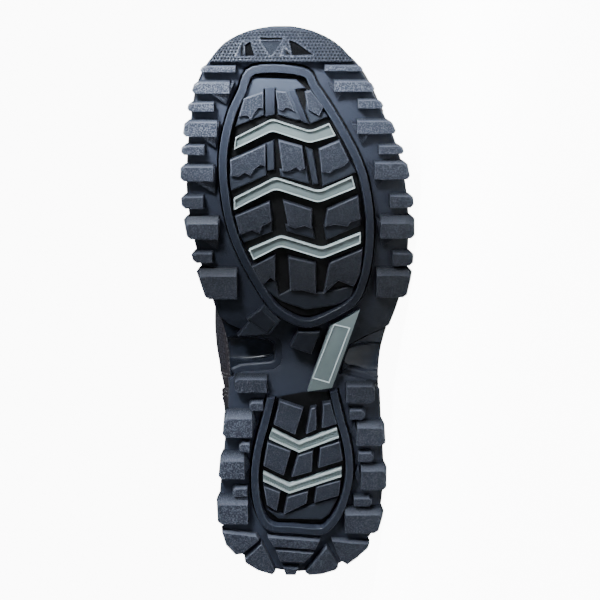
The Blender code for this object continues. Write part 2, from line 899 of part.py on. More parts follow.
def build_upper(grids, collection, finish):
    mesh_data = bmesh.new()
    layer = mesh_data.verts.layers.float.new("wall")
    rows = list(range(len(upper_sections)))
    columns = list(range(side_columns + stay_columns + 1))
    corners = skin(mesh_data, grids, rows, columns)
    for (_, i, j), vertex in corners.items():
        padded = smooth_step((i - pad_row) / pad_rows) if j < side_columns else 0.0
        share = wall / collar_wall
        vertex[layer] = share + (1 - share) * padded
    weld_and_split(mesh_data)
    shares = [vertex[layer] for vertex in mesh_data.verts]
    upper = wall_inward("upper", mesh_data, collar_wall, collection, finish)
    group = upper.vertex_groups.new(name="wall")
    for index, share in enumerate(shares):
        group.add([index], share, "REPLACE")
    upper.modifiers["Wall"].vertex_group = group.name


def on_seam(i, j):
    # Whether a place of the grid lies on the middle line, where the two sides meet
    front = slit_reach(i) == 0 and j == side_columns + stay_columns
    return i == 0 or front or (i >= heel_row and j == 0)


def overlay(name, grids, rows, columns, sides, collection, finish):
    # A panel between two larger forms of the upper, closed round its border
    mesh_data = bmesh.new()
    for side in sides:
        normals = grid_normals(grids[side], side)
        forms = []
        for lift in (gap, gap + overlay_thickness):
            form = {}
            for i in rows:
                for j in columns:
                    point = grids[side][i][j] + normals[i][j] * lift
                    if j == 0 and 0 < i < heel_row - 1:
                        above = grids[side][i][1] - grids[side][i][0]
                        point += above.normalized() * overlay_lift
                    form[i, j] = mesh_data.verts.new(point)
            forms.append(form)
        inner, outer = forms
        for i, following in zip(rows, rows[1:]):
            for j, after in zip(columns, columns[1:]):
                cell = ((i, j), (i, after), (following, after), (following, j))
                mesh_data.faces.new([outer[place] for place in cell])
                mesh_data.faces.new([inner[place] for place in turned_over(cell)])
        border = [((i, j), (i, after)) for i in (rows[0], rows[-1])
                  for j, after in zip(columns, columns[1:])]
        border += [((i, j), (following, j)) for j in (columns[0], columns[-1])
                   for i, following in zip(rows, rows[1:])]
        for start, end in border:
            if len(sides) > 1 and on_seam(*start) and on_seam(*end):
                continue
            mesh_data.faces.new((inner[start], inner[end], outer[end], outer[start]))
    weld_and_split(mesh_data)
    return add_object(name, mesh_data, collection, finish)


def build_overlays(grids, collection, cutters, leather, trim):
    every_column = list(range(side_columns + stay_columns + 1))
    overlay("toe_cap", grids, list(range(toe_cap_row + 1)), every_column, (1, -1),
            collection, leather)
    counter = overlay("heel_counter", grids, list(range(counter_rows[0], counter_rows[1] + 1)),
                      every_column[:side_columns + 1], (1, -1), collection, leather)
    prism = bmesh.new()
    side_view = [(along(y), upward(z)) for y, z in counter_outline]
    loft(prism, [[(x, y, z) for y, z in side_view] for x in (-ball_width, ball_width)])
    combine(counter, add_object("counter_outline", prism, cutters), "INTERSECT")
    stay_rows = list(range(throat_row + 1, len(upper_sections)))
    for name, side in (("eyestay_medial", 1), ("eyestay_lateral", -1)):
        overlay(name, grids, stay_rows, every_column[side_columns:], (side,), collection, trim)


def inner_point(index, side, reach, depth):
    # A point under the upper's face, this far from the middle and this deep
    angle = angle_at(index, reach)
    step = 0.02
    here = section_point(index, side, angle)
    up = section_point(index, side, min(math.pi / 2, angle + step))
    down = section_point(index, side, angle - step)
    last = len(upper_sections) - 1
    before = section_point(max(0, index - 1), side, angle)
    behind = section_point(min(last, index + 1), side, angle)
    normal = (up - down).cross(behind - before) * side
    if reach == 0:
        normal.x = 0
    return here - normal.normalized() * depth


def build_tongue(collection, finish):
    mesh_data = bmesh.new()
    depth = wall + tongue_clearance
    rows = []
    last = len(upper_sections) - 1
    for index in range(tongue_start, last + 1):
        line = []
        for step in range(-tongue_columns // 2, tongue_columns // 2 + 1):
            share = abs(step) / (tongue_columns / 2)
            side = 1 if step >= 0 else -1
            line.append(inner_point(index, side, tongue_half_width * share, depth))
        rows.append(line)
    rise = [(end - start).normalized() * tongue_rise for start, end in zip(rows[-2], rows[-1])]
    rows.append([point + step for point, step in zip(rows[-1], rise)])
    corners = [[mesh_data.verts.new(point) for point in line] for line in rows]
    for line, following in zip(corners, corners[1:]):
        for j in range(len(line) - 1):
            mesh_data.faces.new((line[j], line[j + 1], following[j + 1], following[j]))
    bmesh.ops.recalc_face_normals(mesh_data, faces=mesh_data.faces)
    front = sum((face.normal for face in mesh_data.faces), Vector())
    if front.y + front.z < 0:
        bmesh.ops.reverse_faces(mesh_data, faces=mesh_data.faces)
    wall_inward("tongue", mesh_data, tongue_thickness, collection, finish)


def build_insole(collection, finish):
    # The insole keeps clear of the upper's wall, which leans in most at the toe
    inset = wall + insole_clearance
    start = feather_heel_inset + 1.5 * inset
    end = sole_length - feather_toe_inset - 3 * inset
    sections = []
    for y in [top_station(station) for station in sole_stations()]:
        if y < start or y > end:
            continue
        middle, half = feather_edge(y)
        half -= 2 * inset
        low = midsole_top(y) + gap
        sections.append([(middle + half, y, low), (middle + half, y, low + insole_thickness),
                         (middle - half, y, low + insole_thickness), (middle - half, y, low)])
    mesh_data = bmesh.new()
    loft(mesh_data, sections)
    add_object("insole", mesh_data, collection, finish)


def eyestay_point(row, side, reach_from_slit, lift):
    # A point over the eyestay, at a place between two sections, with its outward direction
    low = int(row)
    share = row - low
    points = []
    normals = []
    for index in (low, min(low + 1, len(upper_sections) - 1)):
        reach = slit_reach(index) + reach_from_slit
        surface = inner_point(index, side, reach, 0.0)
        below = inner_point(index, side, reach, 1.0)
        points.append(surface)
        normals.append(surface - below)
    point = points[0].lerp(points[1], share)
    normal = normals[0].lerp(normals[1], share).normalized()
    return point + normal * lift, normal


def eyelet_places():
    # Rows of the eyelets, evenly spaced along the front line
    rows = range(len(upper_sections))
    tops = [section_line(index)[1] for index in rows]
    travel = [0.0]
    for start, end in zip(tops, tops[1:]):
        travel.append(travel[-1] + (end - start).length)
    first, last = (interpolate(list(zip(rows, travel)), row) for row in eyelet_rows)
    step = (last - first) / (eyelet_pairs - 1)
    return [interpolate(list(zip(travel, rows)), first + step * pair)
            for pair in range(eyelet_pairs)]


def build_eyelets(collection, finish):
    lift = gap + overlay_thickness + gap + eyelet_rim
    for pair, row in enumerate(eyelet_places(), start=1):
        for name, side in (("medial", 1), ("lateral", -1)):
            point, normal = eyestay_point(row, side, eyelet_inset, lift)
            bpy.ops.mesh.primitive_torus_add(major_segments=8, minor_segments=4,
                                             major_radius=eyelet_radius,
                                             minor_radius=eyelet_rim)
            eyelet = bpy.context.active_object
            eyelet.name = f"eyelet_{name}_{pair}"
            eyelet.data.name = eyelet.name
            eyelet.rotation_euler = normal.to_track_quat("Z", "Y").to_euler()
            eyelet.location = point
            eyelet.data.materials.append(finish)
            for owner in list(eyelet.users_collection):
                owner.objects.unlink(eyelet)
            collection.objects.link(eyelet)


def tube(name, points, radius, collection, finish=None):
    curve = bpy.data.curves.new(name, "CURVE")
    curve.dimensions = "3D"
    curve.bevel_depth = radius
    curve.bevel_resolution = 0
    curve.use_fill_caps = True
    line = curve.splines.new("POLY")
    line.points.add(len(points) - 1)
    for point, place in zip(line.points, points):
        point.co = (*place, 1)
    drawn = bpy.data.objects.new(name, curve)
    collection.objects.link(drawn)
    graph = bpy.context.evaluated_depsgraph_get()
    mesh = bpy.data.meshes.new_from_object(drawn.evaluated_get(graph))
    bpy.data.objects.remove(drawn)
    mesh_data = bmesh.new()
    mesh_data.from_mesh(mesh)
    bmesh.ops.remove_doubles(mesh_data, verts=mesh_data.verts, dist=0.00001)
    return add_object(name, mesh_data, collection, finish)


def build_lace(collection, cutters, finish):
    # Two runs cross between the eyelets and meet in the bar over the lowest pair
    lift = 2 * gap + overlay_thickness + 2 * eyelet_rim + lace_rise + lace_radius
    places = eyelet_places()

    def over_eyelet(pair, side):
        return eyestay_point(places[pair], side, eyelet_inset, lift)[0]

    def over_edge(pair, side, row_shift):
        row = places[pair] + row_shift
        return eyestay_point(row, side, 0.0, lift)[0]

    def over_tongue(row):
        low = int(row)
        share = row - low
        ends = [inner_point(index, 1, 0.0, -lace_lift) for index in (low, low + 1)]
        return ends[0].lerp(ends[1], share)

    runs = []
    for first_side in (1, -1):
        side = first_side
        points = [over_eyelet(0, side), over_edge(0, side, lace_slant)]
        for pair in range(1, eyelet_pairs):
            points.append(over_tongue((places[pair] + places[pair - 1]) / 2))
            side = -side
            points += [over_edge(pair, side, -lace_slant), over_eyelet(pair, side)]
            if pair < eyelet_pairs - 1:
                points.append(over_edge(pair, side, lace_slant))
        runs.append(points)
    bar = [over_eyelet(0, -1), over_edge(0, -1, 0), over_tongue(places[0]), over_edge(0, 1, 0)]
    runs[0] = bar + runs[0]
    lace = tube("lace", runs[0], lace_radius, collection, finish)
    combine(lace, tube("lace_second_run", runs[1], lace_radius, cutters), "UNION")


def mesh_moments(thing):
    # Volume and first moment of a closed mesh, in its own frame
    graph = bpy.context.evaluated_depsgraph_get()
    mesh = thing.evaluated_get(graph).to_mesh()
    mesh.transform(thing.matrix_world)
    volume = 0.0
    moment = Vector()
    mesh.calc_loop_triangles()
    for triangle in mesh.loop_triangles:
        a, b, c = (mesh.vertices[index].co for index in triangle.vertices)
        part = a.dot(b.cross(c)) / 6
        volume += part
        moment += part * (a + b + c) / 4
    points = [vertex.co.copy() for vertex in mesh.vertices]
    return volume, moment, points


def lay_down(things):
    # Turns the boot onto its outer side, on the face of its hull that carries its weight
    bpy.context.view_layer.update()
    volume = 0.0
    moment = Vector()
    hull = bmesh.new()
    for thing in things:
        part, part_moment, points = mesh_moments(thing)
        volume += part
        moment += part_moment
        for point in points:
            hull.verts.new(point)
    centre = moment / volume
    made = bmesh.ops.convex_hull(hull, input=hull.verts, use_existing_faces=False)
    bmesh.ops.delete(hull, geom=made["geom_interior"], context="VERTS")
    bmesh.ops.recalc_face_normals(hull, faces=hull.faces)
    tree = BVHTree.FromBMesh(hull)
    down = Vector((-1, 0, 0))
    for _ in range(20):
        _, normal, _, _ = tree.ray_cast(centre, down)
        if normal.dot(down) < 0:
            normal = -normal
        if (normal - down).length < 1e-6:
            break
        down = normal
    points = [vertex.co.copy() for vertex in hull.verts]
    hull.free()

    up = -down
    forward = (Vector((0, 1, 0)) - up * up.y).normalized()
    turn = Matrix((forward, up.cross(forward), up)).to_4x4()
    turned = [turn @ point for point in points]
    lows = [min(point[axis] for point in turned) for axis in range(3)]
    highs = [max(point[axis] for point in turned) for axis in range(3)]
    shift = Vector((-(lows[0] + highs[0]) / 2, -(lows[1] + highs[1]) / 2, -lows[2]))

    boot = bpy.data.objects.new("boot_pose", None)
    bpy.context.scene.collection.objects.link(boot)
    boot.matrix_world = Matrix.Translation(shift) @ turn
    for thing in things:
        thing.parent = boot


def clear_scene():
    for thing in list(bpy.data.objects):
        bpy.data.objects.remove(thing)


def main():
    clear_scene()
    boot = bpy.data.collections.new("combat_boot")
    cutters = bpy.data.collections.new("cutters")
    for collection in (boot, cutters):
        bpy.context.scene.collection.children.link(collection)

    rubber = material("black rubber", (0.035, 0.042, 0.055), 0.5)
    midsole_rubber = material("glossy rubber", (0.03, 0.034, 0.045), 0.25)
    grey_insert = material("grey insert", (0.30, 0.34, 0.33), 0.45)
    leather = material("dark leather", (0.018, 0.014, 0.018), 0.42)
    nylon = material("dark nylon", (0.022, 0.020, 0.026), 0.8)
    felt = material("insole felt", (0.06, 0.06, 0.065), 0.9)
    steel = material("blackened steel", (0.05, 0.05, 0.055), 0.35, 0.9)
    cord = material("lace cord", (0.012, 0.012, 0.014), 0.85)

    grids = upper_grid()
    build_outsole(boot, cutters, rubber)
    build_inserts(boot, grey_insert)
    build_midsole(boot, cutters, midsole_rubber)
    build_insole(boot, felt)
    build_upper(grids, boot, leather)
    build_overlays(grids, boot, cutters, leather, leather)
    build_tongue(boot, nylon)
    build_eyelets(boot, steel)
    build_lace(boot, cutters, cord)
    lay_down(list(boot.objects))


main()
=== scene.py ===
# Left combat boot lying on its outer side, seen from under its sole.
# The boot is modelled upright, x to the inner side, y from heel to toe, z up from the
# ground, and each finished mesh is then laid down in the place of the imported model.
import json
import math

import bmesh
import bpy
from mathutils import Matrix, Vector
from mathutils.bvhtree import BVHTree


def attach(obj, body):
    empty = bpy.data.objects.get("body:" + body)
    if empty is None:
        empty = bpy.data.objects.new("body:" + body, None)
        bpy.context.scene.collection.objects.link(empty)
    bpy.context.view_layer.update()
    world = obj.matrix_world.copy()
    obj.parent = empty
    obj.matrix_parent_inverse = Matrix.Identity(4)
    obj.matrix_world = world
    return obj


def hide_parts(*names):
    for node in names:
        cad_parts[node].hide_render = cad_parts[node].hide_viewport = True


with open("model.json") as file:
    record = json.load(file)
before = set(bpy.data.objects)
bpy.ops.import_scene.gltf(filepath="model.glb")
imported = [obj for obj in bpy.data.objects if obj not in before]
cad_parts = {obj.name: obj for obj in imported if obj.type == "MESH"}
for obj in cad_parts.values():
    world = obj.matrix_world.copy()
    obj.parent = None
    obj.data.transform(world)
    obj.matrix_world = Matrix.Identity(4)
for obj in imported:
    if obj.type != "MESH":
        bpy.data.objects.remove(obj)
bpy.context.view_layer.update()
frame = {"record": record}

mm = 0.001
soleLength = 300 * mm
lugDepth = 5 * mm
plateThickness = 5.5 * mm


def bootPose():
    # Two points of the tread and its direction give the boot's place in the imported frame
    mounts = {row["name"]: row for row in frame["record"]["mounts"]}
    places = {"heel_tread": Vector((40, 66, 0)) * mm, "forefoot_tread": Vector((52, 199, 0)) * mm}
    heel, ball = (Vector(mounts[name]["pos_m"]) for name in places)
    up = -Vector(mounts["heel_tread"]["axis"]).normalized()
    start, end = places.values()

    def axes(along, top):
        along = (along - top * along.dot(top)).normalized()
        return Matrix((along, top.cross(along), top)).transposed()

    turn = axes(ball - heel, up) @ axes(end - start, Vector((0, 0, 1))).transposed()
    return Matrix.Translation(heel - turn @ start) @ turn.to_4x4()


pose = bootPose()


def interpolate(points, value):
    # Straight-line value at one place of a sorted list of pairs
    if value <= points[0][0]:
        return points[0][1]
    for (x0, y0), (x1, y1) in zip(points, points[1:]):
        if value <= x1:
            return y0 + (y1 - y0) * (value - x0) / (x1 - x0)
    return points[-1][1]


def spline(points, samples, closed=False):
    # Smooth curve through all points
    points = [Vector(point) for point in points]
    if closed:
        ends = [points[-1], *points, points[0], points[1]]
    else:
        ends = [2 * points[0] - points[1], *points, 2 * points[-1] - points[-2]]
    curve = []
    for before, start, end, after in zip(ends, ends[1:], ends[2:], ends[3:]):
        for step in range(samples):
            t = step / samples
            curve.append(0.5 * (2 * start + (end - before) * t
                                + (2 * before - 5 * start + 4 * end - after) * t ** 2
                                + (3 * start - before - 3 * end + after) * t ** 3))
    return curve if closed else curve + [points[-1]]


def smoothStep(value):
    value = min(1.0, max(0.0, value))
    return value * value * (3 - 2 * value)


# Edge of the sole plate in millimetres: place from the heel, inner side, outer side
soleOutline = [
    (0, 2, -2), (2, 17, 15), (6, 27, 24.5), (13, 36, 33), (22, 41.5, 39.5), (32, 44, 43.5),
    (46, 44.5, 45.5), (62, 43, 46), (80, 41, 45), (100, 39, 43.5), (120, 38.5, 43),
    (140, 40.5, 46), (155, 44.5, 50.5), (170, 49, 54.5), (186, 53.5, 56), (202, 56.5, 56),
    (218, 58, 54.5), (235, 57.5, 51), (250, 56, 45.5), (265, 53, 38), (276, 49.5, 32),
    (285, 44.5, 25.5), (292, 38, 18), (297, 28, 8), (299.4, 17, -2), (300, 8, -8),
]
edgeCurve = spline([(y * mm, inner * mm, outer * mm) for y, inner, outer in soleOutline], 8)
innerEdge = [(point.x, point.y) for point in edgeCurve]
outerEdge = [(point.x, point.z) for point in edgeCurve]


def soleEdge(y):
    # Middle and half width of the plate
    inner = interpolate(innerEdge, y)
    outer = interpolate(outerEdge, y)
    return (inner - outer) / 2, (inner + outer) / 2


soleProfile = {"springStart": 205 * mm, "toeSpring": 17 * mm, "bumperStart": 284 * mm,
               "toeCurl": 7 * mm, "heelBevelEnd": 24 * mm, "heelBevel": 3.4 * mm,
               "heelFloorBevel": 2.5 * mm, "archStart": 104 * mm, "archEnd": 158 * mm,
               "archRise": 4 * mm, "thinningStart": 60 * mm, "midsoleHeel": 19 * mm,
               "midsoleToe": 7 * mm, "midsoleGap": 0.3 * mm, "heelReachEnd": 14 * mm,
               "toeShift": 2.0 * mm, "toeShiftStart": 222, "toeShiftSpan": 62}


def spring(y):
    start = soleProfile["springStart"]
    return soleProfile["toeSpring"] * max(0.0, (y - start) / (soleLength - start)) ** 2


def heelBack(y):
    return max(0.0, 1 - y / soleProfile["heelBevelEnd"]) ** 1.5


def heelRise(y):
    return soleProfile["heelBevel"] * heelBack(y)


def treadPlane(y):
    # Height of the lugs' tops
    bumper = soleProfile["bumperStart"]
    curl = max(0.0, (y - bumper) / (soleLength - bumper))
    return spring(y) + soleProfile["toeCurl"] * curl ** 2 + heelRise(y)


def arch(y):
    start, end = soleProfile["archStart"], soleProfile["archEnd"]
    share = (y - start) / (end - start)
    return soleProfile["archRise"] * math.sin(math.pi * share) ** 2 if 0 < share < 1 else 0.0


def treadFloor(y):
    # Height of the plate between the lugs
    return spring(y) + lugDepth + arch(y) + soleProfile["heelFloorBevel"] * heelBack(y)


def plateTop(y):
    return spring(y) + lugDepth + plateThickness + arch(y)


def midsoleTop(y):
    start = soleProfile["thinningStart"]
    share = smoothStep((y - start) / (soleLength - start))
    thickness = soleProfile["midsoleHeel"]
    thickness += (soleProfile["midsoleToe"] - thickness) * share
    return spring(y) + lugDepth + plateThickness + soleProfile["midsoleGap"] + thickness


def heelReachShare(y):
    # 1 at the very back of the heel, where the plate and the lugs stand out further
    return smoothStep(1 - y / soleProfile["heelReachEnd"])


def metres(points):
    return [(x * mm, y * mm) for x, y in points]


def deselectAll():
    if bpy.context.object and bpy.context.object.mode != "OBJECT":
        bpy.ops.object.mode_set(mode="OBJECT")
    bpy.ops.object.select_all(action="DESELECT")


def pickOnly(*things):
    deselectAll()
    for thing in things:
        thing.select_set(True)
    bpy.context.view_layer.objects.active = things[0]


def addShape(kind, **settings):
    deselectAll()
    getattr(bpy.ops.mesh, f"primitive_{kind}_add")(**settings)
    return bpy.context.object


def joinAs(name, things):
    pickOnly(*things)
    if len(things) > 1:
        bpy.ops.object.join()
    joined = bpy.context.object
    joined.name = joined.data.name = name
    return joined


def applyModifier(thing, kind, **settings):
    pickOnly(thing)
    bpy.ops.object.modifier_add(type=kind)
    modifier = thing.modifiers[-1]
    for key, value in settings.items():
        setattr(modifier, key, value)
    bpy.ops.object.modifier_apply(modifier=modifier.name)


def roundEdges(thing, width, segments=2, angle=32):
    applyModifier(thing, "BEVEL", width=width, segments=segments, limit_method="ANGLE",
                  angle_limit=math.radians(angle), use_clamp_overlap=True)


def cutAway(thing, cutter, operation="DIFFERENCE"):
    applyModifier(thing, "BOOLEAN", object=cutter, operation=operation, solver="EXACT")
    bpy.data.objects.remove(cutter)


def editWhole(thing, **steps):
    # Mesh operators by name with their settings, run on all of a piece
    pickOnly(thing)
    bpy.ops.object.mode_set(mode="EDIT")
    bpy.ops.mesh.select_all(action="SELECT")
    for step, settings in steps.items():
        getattr(bpy.ops.mesh, step)(**settings)
    bpy.ops.object.mode_set(mode="OBJECT")


def outwardFaces(thing):
    editWhole(thing, normals_make_consistent={"inside": False})


def meshObject(name, vertices, faces):
    mesh = bpy.data.meshes.new(name)
    mesh.from_pydata([tuple(vertex) for vertex in vertices], [], faces)
    thing = bpy.data.objects.new(name, mesh)
    bpy.context.scene.collection.objects.link(thing)
    return thing


def markPoints(thing, name, values):
    # One value for each point of a mesh, which its material reads
    thing.data.attributes.new(name, "FLOAT", "POINT").data.foreach_set("value", values)


def stackLayers(name, layers):
    # A filled circle becomes the first outline and is extruded from one outline to the next
    block = addShape("circle", vertices=len(layers[0]), radius=mm, fill_type="NGON")
    block.name = block.data.name = name
    for vertex, place in zip(block.data.vertices, layers[0]):
        vertex.co = place
    bpy.ops.object.mode_set(mode="EDIT")
    last = [Vector(place) for place in layers[0]]
    for layer in layers[1:]:
        bpy.ops.mesh.extrude_region_move()
        cage = bmesh.from_edit_mesh(block.data)
        picked = [vertex for vertex in cage.verts if vertex.select]
        for vertex in picked:
            nearest = min(range(len(last)), key=lambda index: (last[index] - vertex.co).length_squared)
            vertex.co = layer[nearest]
        bmesh.update_edit_mesh(block.data)
        last = [Vector(place) for place in layer]
    outwardFaces(block)
    return block


def counterClockwise(points):
    area = sum(a[0] * b[1] - b[0] * a[1] for a, b in zip(points, points[1:] + points[:1]))
    return list(points) if area > 0 else list(reversed(points))


def offsetPath(points, distance, closed=True):
    # Moves a flat path to its left by one distance, with mitred corners
    moved = []
    count = len(points)
    for index, point in enumerate(points):
        here = Vector(point[:2])
        steps = []
        if closed or index:
            steps.append((here - Vector(points[index - 1][:2])).normalized())
        if closed or index < count - 1:
            steps.append((Vector(points[(index + 1) % count][:2]) - here).normalized())
        normals = [Vector((-step.y, step.x)) for step in steps]
        middle = sum(normals, Vector((0, 0))).normalized()
        moved.append(here + middle * distance / max(0.5, middle.dot(normals[0])))
    return moved


def insideDistance(polygon, y, z):
    # Distance to the border of a flat outline, positive inside it
    nearest, inside = 1e9, False
    for (y0, z0), (y1, z1) in zip(polygon, polygon[1:] + polygon[:1]):
        dy, dz = y1 - y0, z1 - z0
        share = min(1.0, max(0.0, ((y - y0) * dy + (z - z0) * dz) / (dy * dy + dz * dz)))
        nearest = min(nearest, math.hypot(y - y0 - share * dy, z - z0 - share * dz))
        if (z0 > z) != (z1 > z) and y < (y1 - y0) * (z - z0) / (z1 - z0) + y0:
            inside = not inside
    return nearest if inside else -nearest


def flatLayer(points, depth):
    return [(point[0], point[1], depth) for point in points]


def bendToSole(thing):
    # Flat depth 0 is the lugs' tops and lugDepth the floor between them
    for vertex in thing.data.vertices:
        x, y, depth = vertex.co
        forward = smoothStep((y / mm - soleProfile["toeShiftStart"]) / soleProfile["toeShiftSpan"])
        y -= soleProfile["toeShift"] * forward
        vertex.co.y = y
        top, floor = treadPlane(y), treadFloor(y)
        if depth <= lugDepth:
            vertex.co.z = top + depth / lugDepth * (floor - top)
        else:
            vertex.co.z = floor + depth - lugDepth


def markRelief(thing, values=None, highest=1.0):
    # 1 on the lugs' tops, 0 on the floor between them, less in the trenches; the finish paints shade from it,
    # near black below 0
    if values is None:
        values = []
        for vertex in thing.data.vertices:
            top, floor = spring(vertex.co.y) + heelRise(vertex.co.y), treadFloor(vertex.co.y)
            values.append(highest * min(1.0, max(-1.0, 1 - (vertex.co.z - top) / (floor - top))))
    markPoints(thing, "relief", values)


# depths under a top where its border is painted pale, as rubbing and as a highlight
rubbedHighlightBand = (0.03 * mm, 0.5 * mm)


def markRubbedHighlights(thing, levels):
    # 1 on the rounded borders of tops at these depths, painted pale: rubbed rubber and painted highlights
    # along the edges
    values = []
    for vertex in thing.data.vertices:
        top, floor = treadPlane(vertex.co.y), treadFloor(vertex.co.y)
        depth = (vertex.co.z - top) / (floor - top) * lugDepth
        values.append(float(any(rubbedHighlightBand[0] < depth - level < rubbedHighlightBand[1] for level in levels)))
    markPoints(thing, "edge", values)


def finishPiece(thing, finish, replaced=(), smooth=35, crisp=False):
    # Lays the piece down, gives it its finish and fixes it to the boot
    outwardFaces(thing)
    pickOnly(thing)
    bpy.ops.object.shade_smooth_by_angle(angle=math.radians(smooth))
    if crisp:
        applyModifier(thing, "WEIGHTED_NORMAL", keep_sharp=True)
    thing.data.transform(pose)
    for vertex in thing.data.vertices:
        vertex.co.z = max(vertex.co.z, 0.0)
    thing.data.materials.clear()
    thing.data.materials.append(finish)
    thing.data.polygons.foreach_set("material_index", [0] * len(thing.data.polygons))
    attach(thing, "root")
    if replaced:
        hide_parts(*replaced)


def finishSole(thing, finish, smooth=35, crisp=False):
    finishPiece(thing, finish, ["outsole"], smooth, crisp)


def finishTread(thing, finish, rounding, smooth, relief=None, highest=1.0, rubbedHighlight=()):
    # Rounds a piece that is bent to the sole, marks its heights and its rubbed borders with their painted
    # highlights, and finishes it
    if rounding:
        roundEdges(thing, *rounding)
    markRelief(thing, relief, highest)
    if rubbedHighlight:
        markRubbedHighlights(thing, rubbedHighlight)
    finishSole(thing, finish, smooth, True)


# Materials: short ways to add nodes; a socket knows its tree
def plug(socket, value):
    # Links a node's output to a socket, or sets a plain number, colour or vector
    if isinstance(value, bpy.types.NodeSocket):
        socket.id_data.links.new(value, socket)
    else:
        socket.default_value = (*value, 1) if socket.type == "RGBA" else value


def addNode(tree, kind, inputs=None, **settings):
    node = tree.nodes.new(kind)
    for key, value in settings.items():
        setattr(node, key, value)
    for label, value in (inputs or {}).items():
        plug(node.inputs[label], value)
    return node


def treeOf(values):
    return next(value.id_data for value in values if isinstance(value, bpy.types.NodeSocket))


def maths(operation, *values):
    return addNode(treeOf(values), "ShaderNodeMath", dict(enumerate(values)), operation=operation).outputs[0]


def multiply(first, second):
    return maths("MULTIPLY", first, second)


def scaled(value, factor, offset):
    return maths("MULTIPLY_ADD", value, factor, offset)


def clamped(value):
    return addNode(value.id_data, "ShaderNodeClamp", {0: value}).outputs[0]


def mix(share, first, second, blend="MIX"):
    return addNode(treeOf((share, first, second)), "ShaderNodeMix", {0: share, 6: first, 7: second},
                   data_type="RGBA", blend_type=blend).outputs[2]


def noise(vector, scale, detail, roughness=0.5):
    return addNode(vector.id_data, "ShaderNodeTexNoise", {
        "Vector": vector, "Scale": scale, "Detail": detail, "Roughness": roughness}).outputs["Fac"]


def greyRamp(source, stops):
    node = addNode(source.id_data, "ShaderNodeValToRGB", {"Fac": source})
    ramp = node.color_ramp
    while len(ramp.elements) < len(stops):
        ramp.elements.new(0.5)
    for element, (place, value) in zip(ramp.elements, stops):
        element.position = place
        element.color = (value, value, value, 1)
    return node.outputs["Color"]


def readMark(vector, name):
    # A value that the mesh carries at each of its points
    return addNode(vector.id_data, "ShaderNodeAttribute", attribute_name=name).outputs["Fac"]


def ownMap(vector):
    return addNode(vector.id_data, "ShaderNodeUVMap", uv_map="UVMap").outputs["UV"]


def splitPlace(vector):
    return addNode(vector.id_data, "ShaderNodeSeparateXYZ", {0: vector}).outputs


def addBump(shader, height, strength, distance):
    bump = addNode(height.id_data, "ShaderNodeBump", {
        "Height": height, "Strength": strength, "Distance": distance})
    plug(shader["Normal"], bump.outputs["Normal"])


def startMaterial(name, roughness, specular=0.5, coat=0.0, coatRoughness=0.2, sheen=0.0):
    finish = bpy.data.materials.new(name)
    finish.use_nodes = True
    tree = finish.node_tree
    shader = tree.nodes["Principled BSDF"].inputs
    for socket, value in (("Roughness", roughness), ("Specular IOR Level", specular), ("Coat Weight", coat),
                          ("Coat Roughness", coatRoughness), ("Sheen Weight", sheen)):
        plug(shader[socket], value)
    return finish, shader, tree.nodes.new("ShaderNodeTexCoord").outputs["Object"]


def dress(shader, colour, roughness, height, strength, distance):
    plug(shader["Base Color"], colour)
    plug(shader["Roughness"], roughness)
    addBump(shader, height, strength, distance)


def newGroup(name, values, outputs):
    # A group of nodes that several finishes share; all its values are plain numbers
    group = bpy.data.node_groups.new(name, "ShaderNodeTree")
    group.interface.new_socket(name="Vector", in_out="INPUT", socket_type="NodeSocketVector")
    for label, value in values.items():
        socket = group.interface.new_socket(name=label, in_out="INPUT", socket_type="NodeSocketFloat")
        socket.default_value = value
    for label in outputs:
        group.interface.new_socket(name=label, in_out="OUTPUT", socket_type="NodeSocketFloat")
    return group, group.nodes.new("NodeGroupInput").outputs, group.nodes.new("NodeGroupOutput").inputs


def placeGroup(group, vector, **values):
    node = addNode(vector.id_data, "ShaderNodeGroup", node_tree=group)
    plug(node.inputs["Vector"], vector)
    for label, value in values.items():
        plug(node.inputs[label.replace("_", " ")], value)
    return node.outputs


def makeGrain():
    # Moulded or worn skin: fine grain over slow cloudiness
    group, entry, leave = newGroup("skinGrain", {"Scale": 900.0, "Cloud Scale": 60.0, "Cloud Share": 0.3},
                                   ("Height", "Cloud", "Fine"))
    fine = noise(entry["Vector"], entry["Scale"], 3.0, 0.6)
    cloud = noise(entry["Vector"], entry["Cloud Scale"], 4.0, 0.55)
    share = entry["Cloud Share"]
    height = maths("ADD", multiply(fine, maths("SUBTRACT", 1.0, share)), multiply(cloud, share))
    for label, value in (("Height", height), ("Cloud", cloud), ("Fine", fine)):
        plug(leave[label], value)
    return group


def makeScuffs():
    # Thin pale scratches and dust where the cloud is high
    group, entry, leave = newGroup("scuffs", {"Scale": 90.0, "Amount": 0.2}, ("Mask",))
    stretch = addNode(group, "ShaderNodeMapping", {
        "Vector": entry["Vector"], "Scale": (1.0, 1.0, 6.0), "Rotation": (0.4, 0.7, 0.3)})
    lines = maths("GREATER_THAN", noise(stretch.outputs[0], entry["Scale"], 5.0, 0.7), 0.62)
    patches = maths("GREATER_THAN", noise(entry["Vector"], 35.0, 2.0), 0.5)
    plug(leave["Mask"], multiply(multiply(lines, patches), entry["Amount"]))
    return group


def makeWeave():
    # Plain weave of two thread directions, from a piece's own map
    group, entry, leave = newGroup("threadWeave", {"Threads": 600.0}, ("Height", "Thread"))
    places = [multiply(axis, entry["Threads"]) for axis in splitPlace(entry["Vector"])[:2]]
    waves = [maths("ABSOLUTE", maths("SINE", multiply(place, math.pi))) for place in places]
    cells = addNode(group, "ShaderNodeCombineXYZ", dict(enumerate(places)))
    thread = addNode(group, "ShaderNodeTexChecker", {"Scale": 1.0, "Vector": cells.outputs[0]}).outputs["Fac"]
    under = multiply(waves[1], maths("SUBTRACT", 1.0, thread))
    plug(leave["Height"], maths("ADD", multiply(waves[0], thread), under))
    plug(leave["Thread"], thread)
    return group


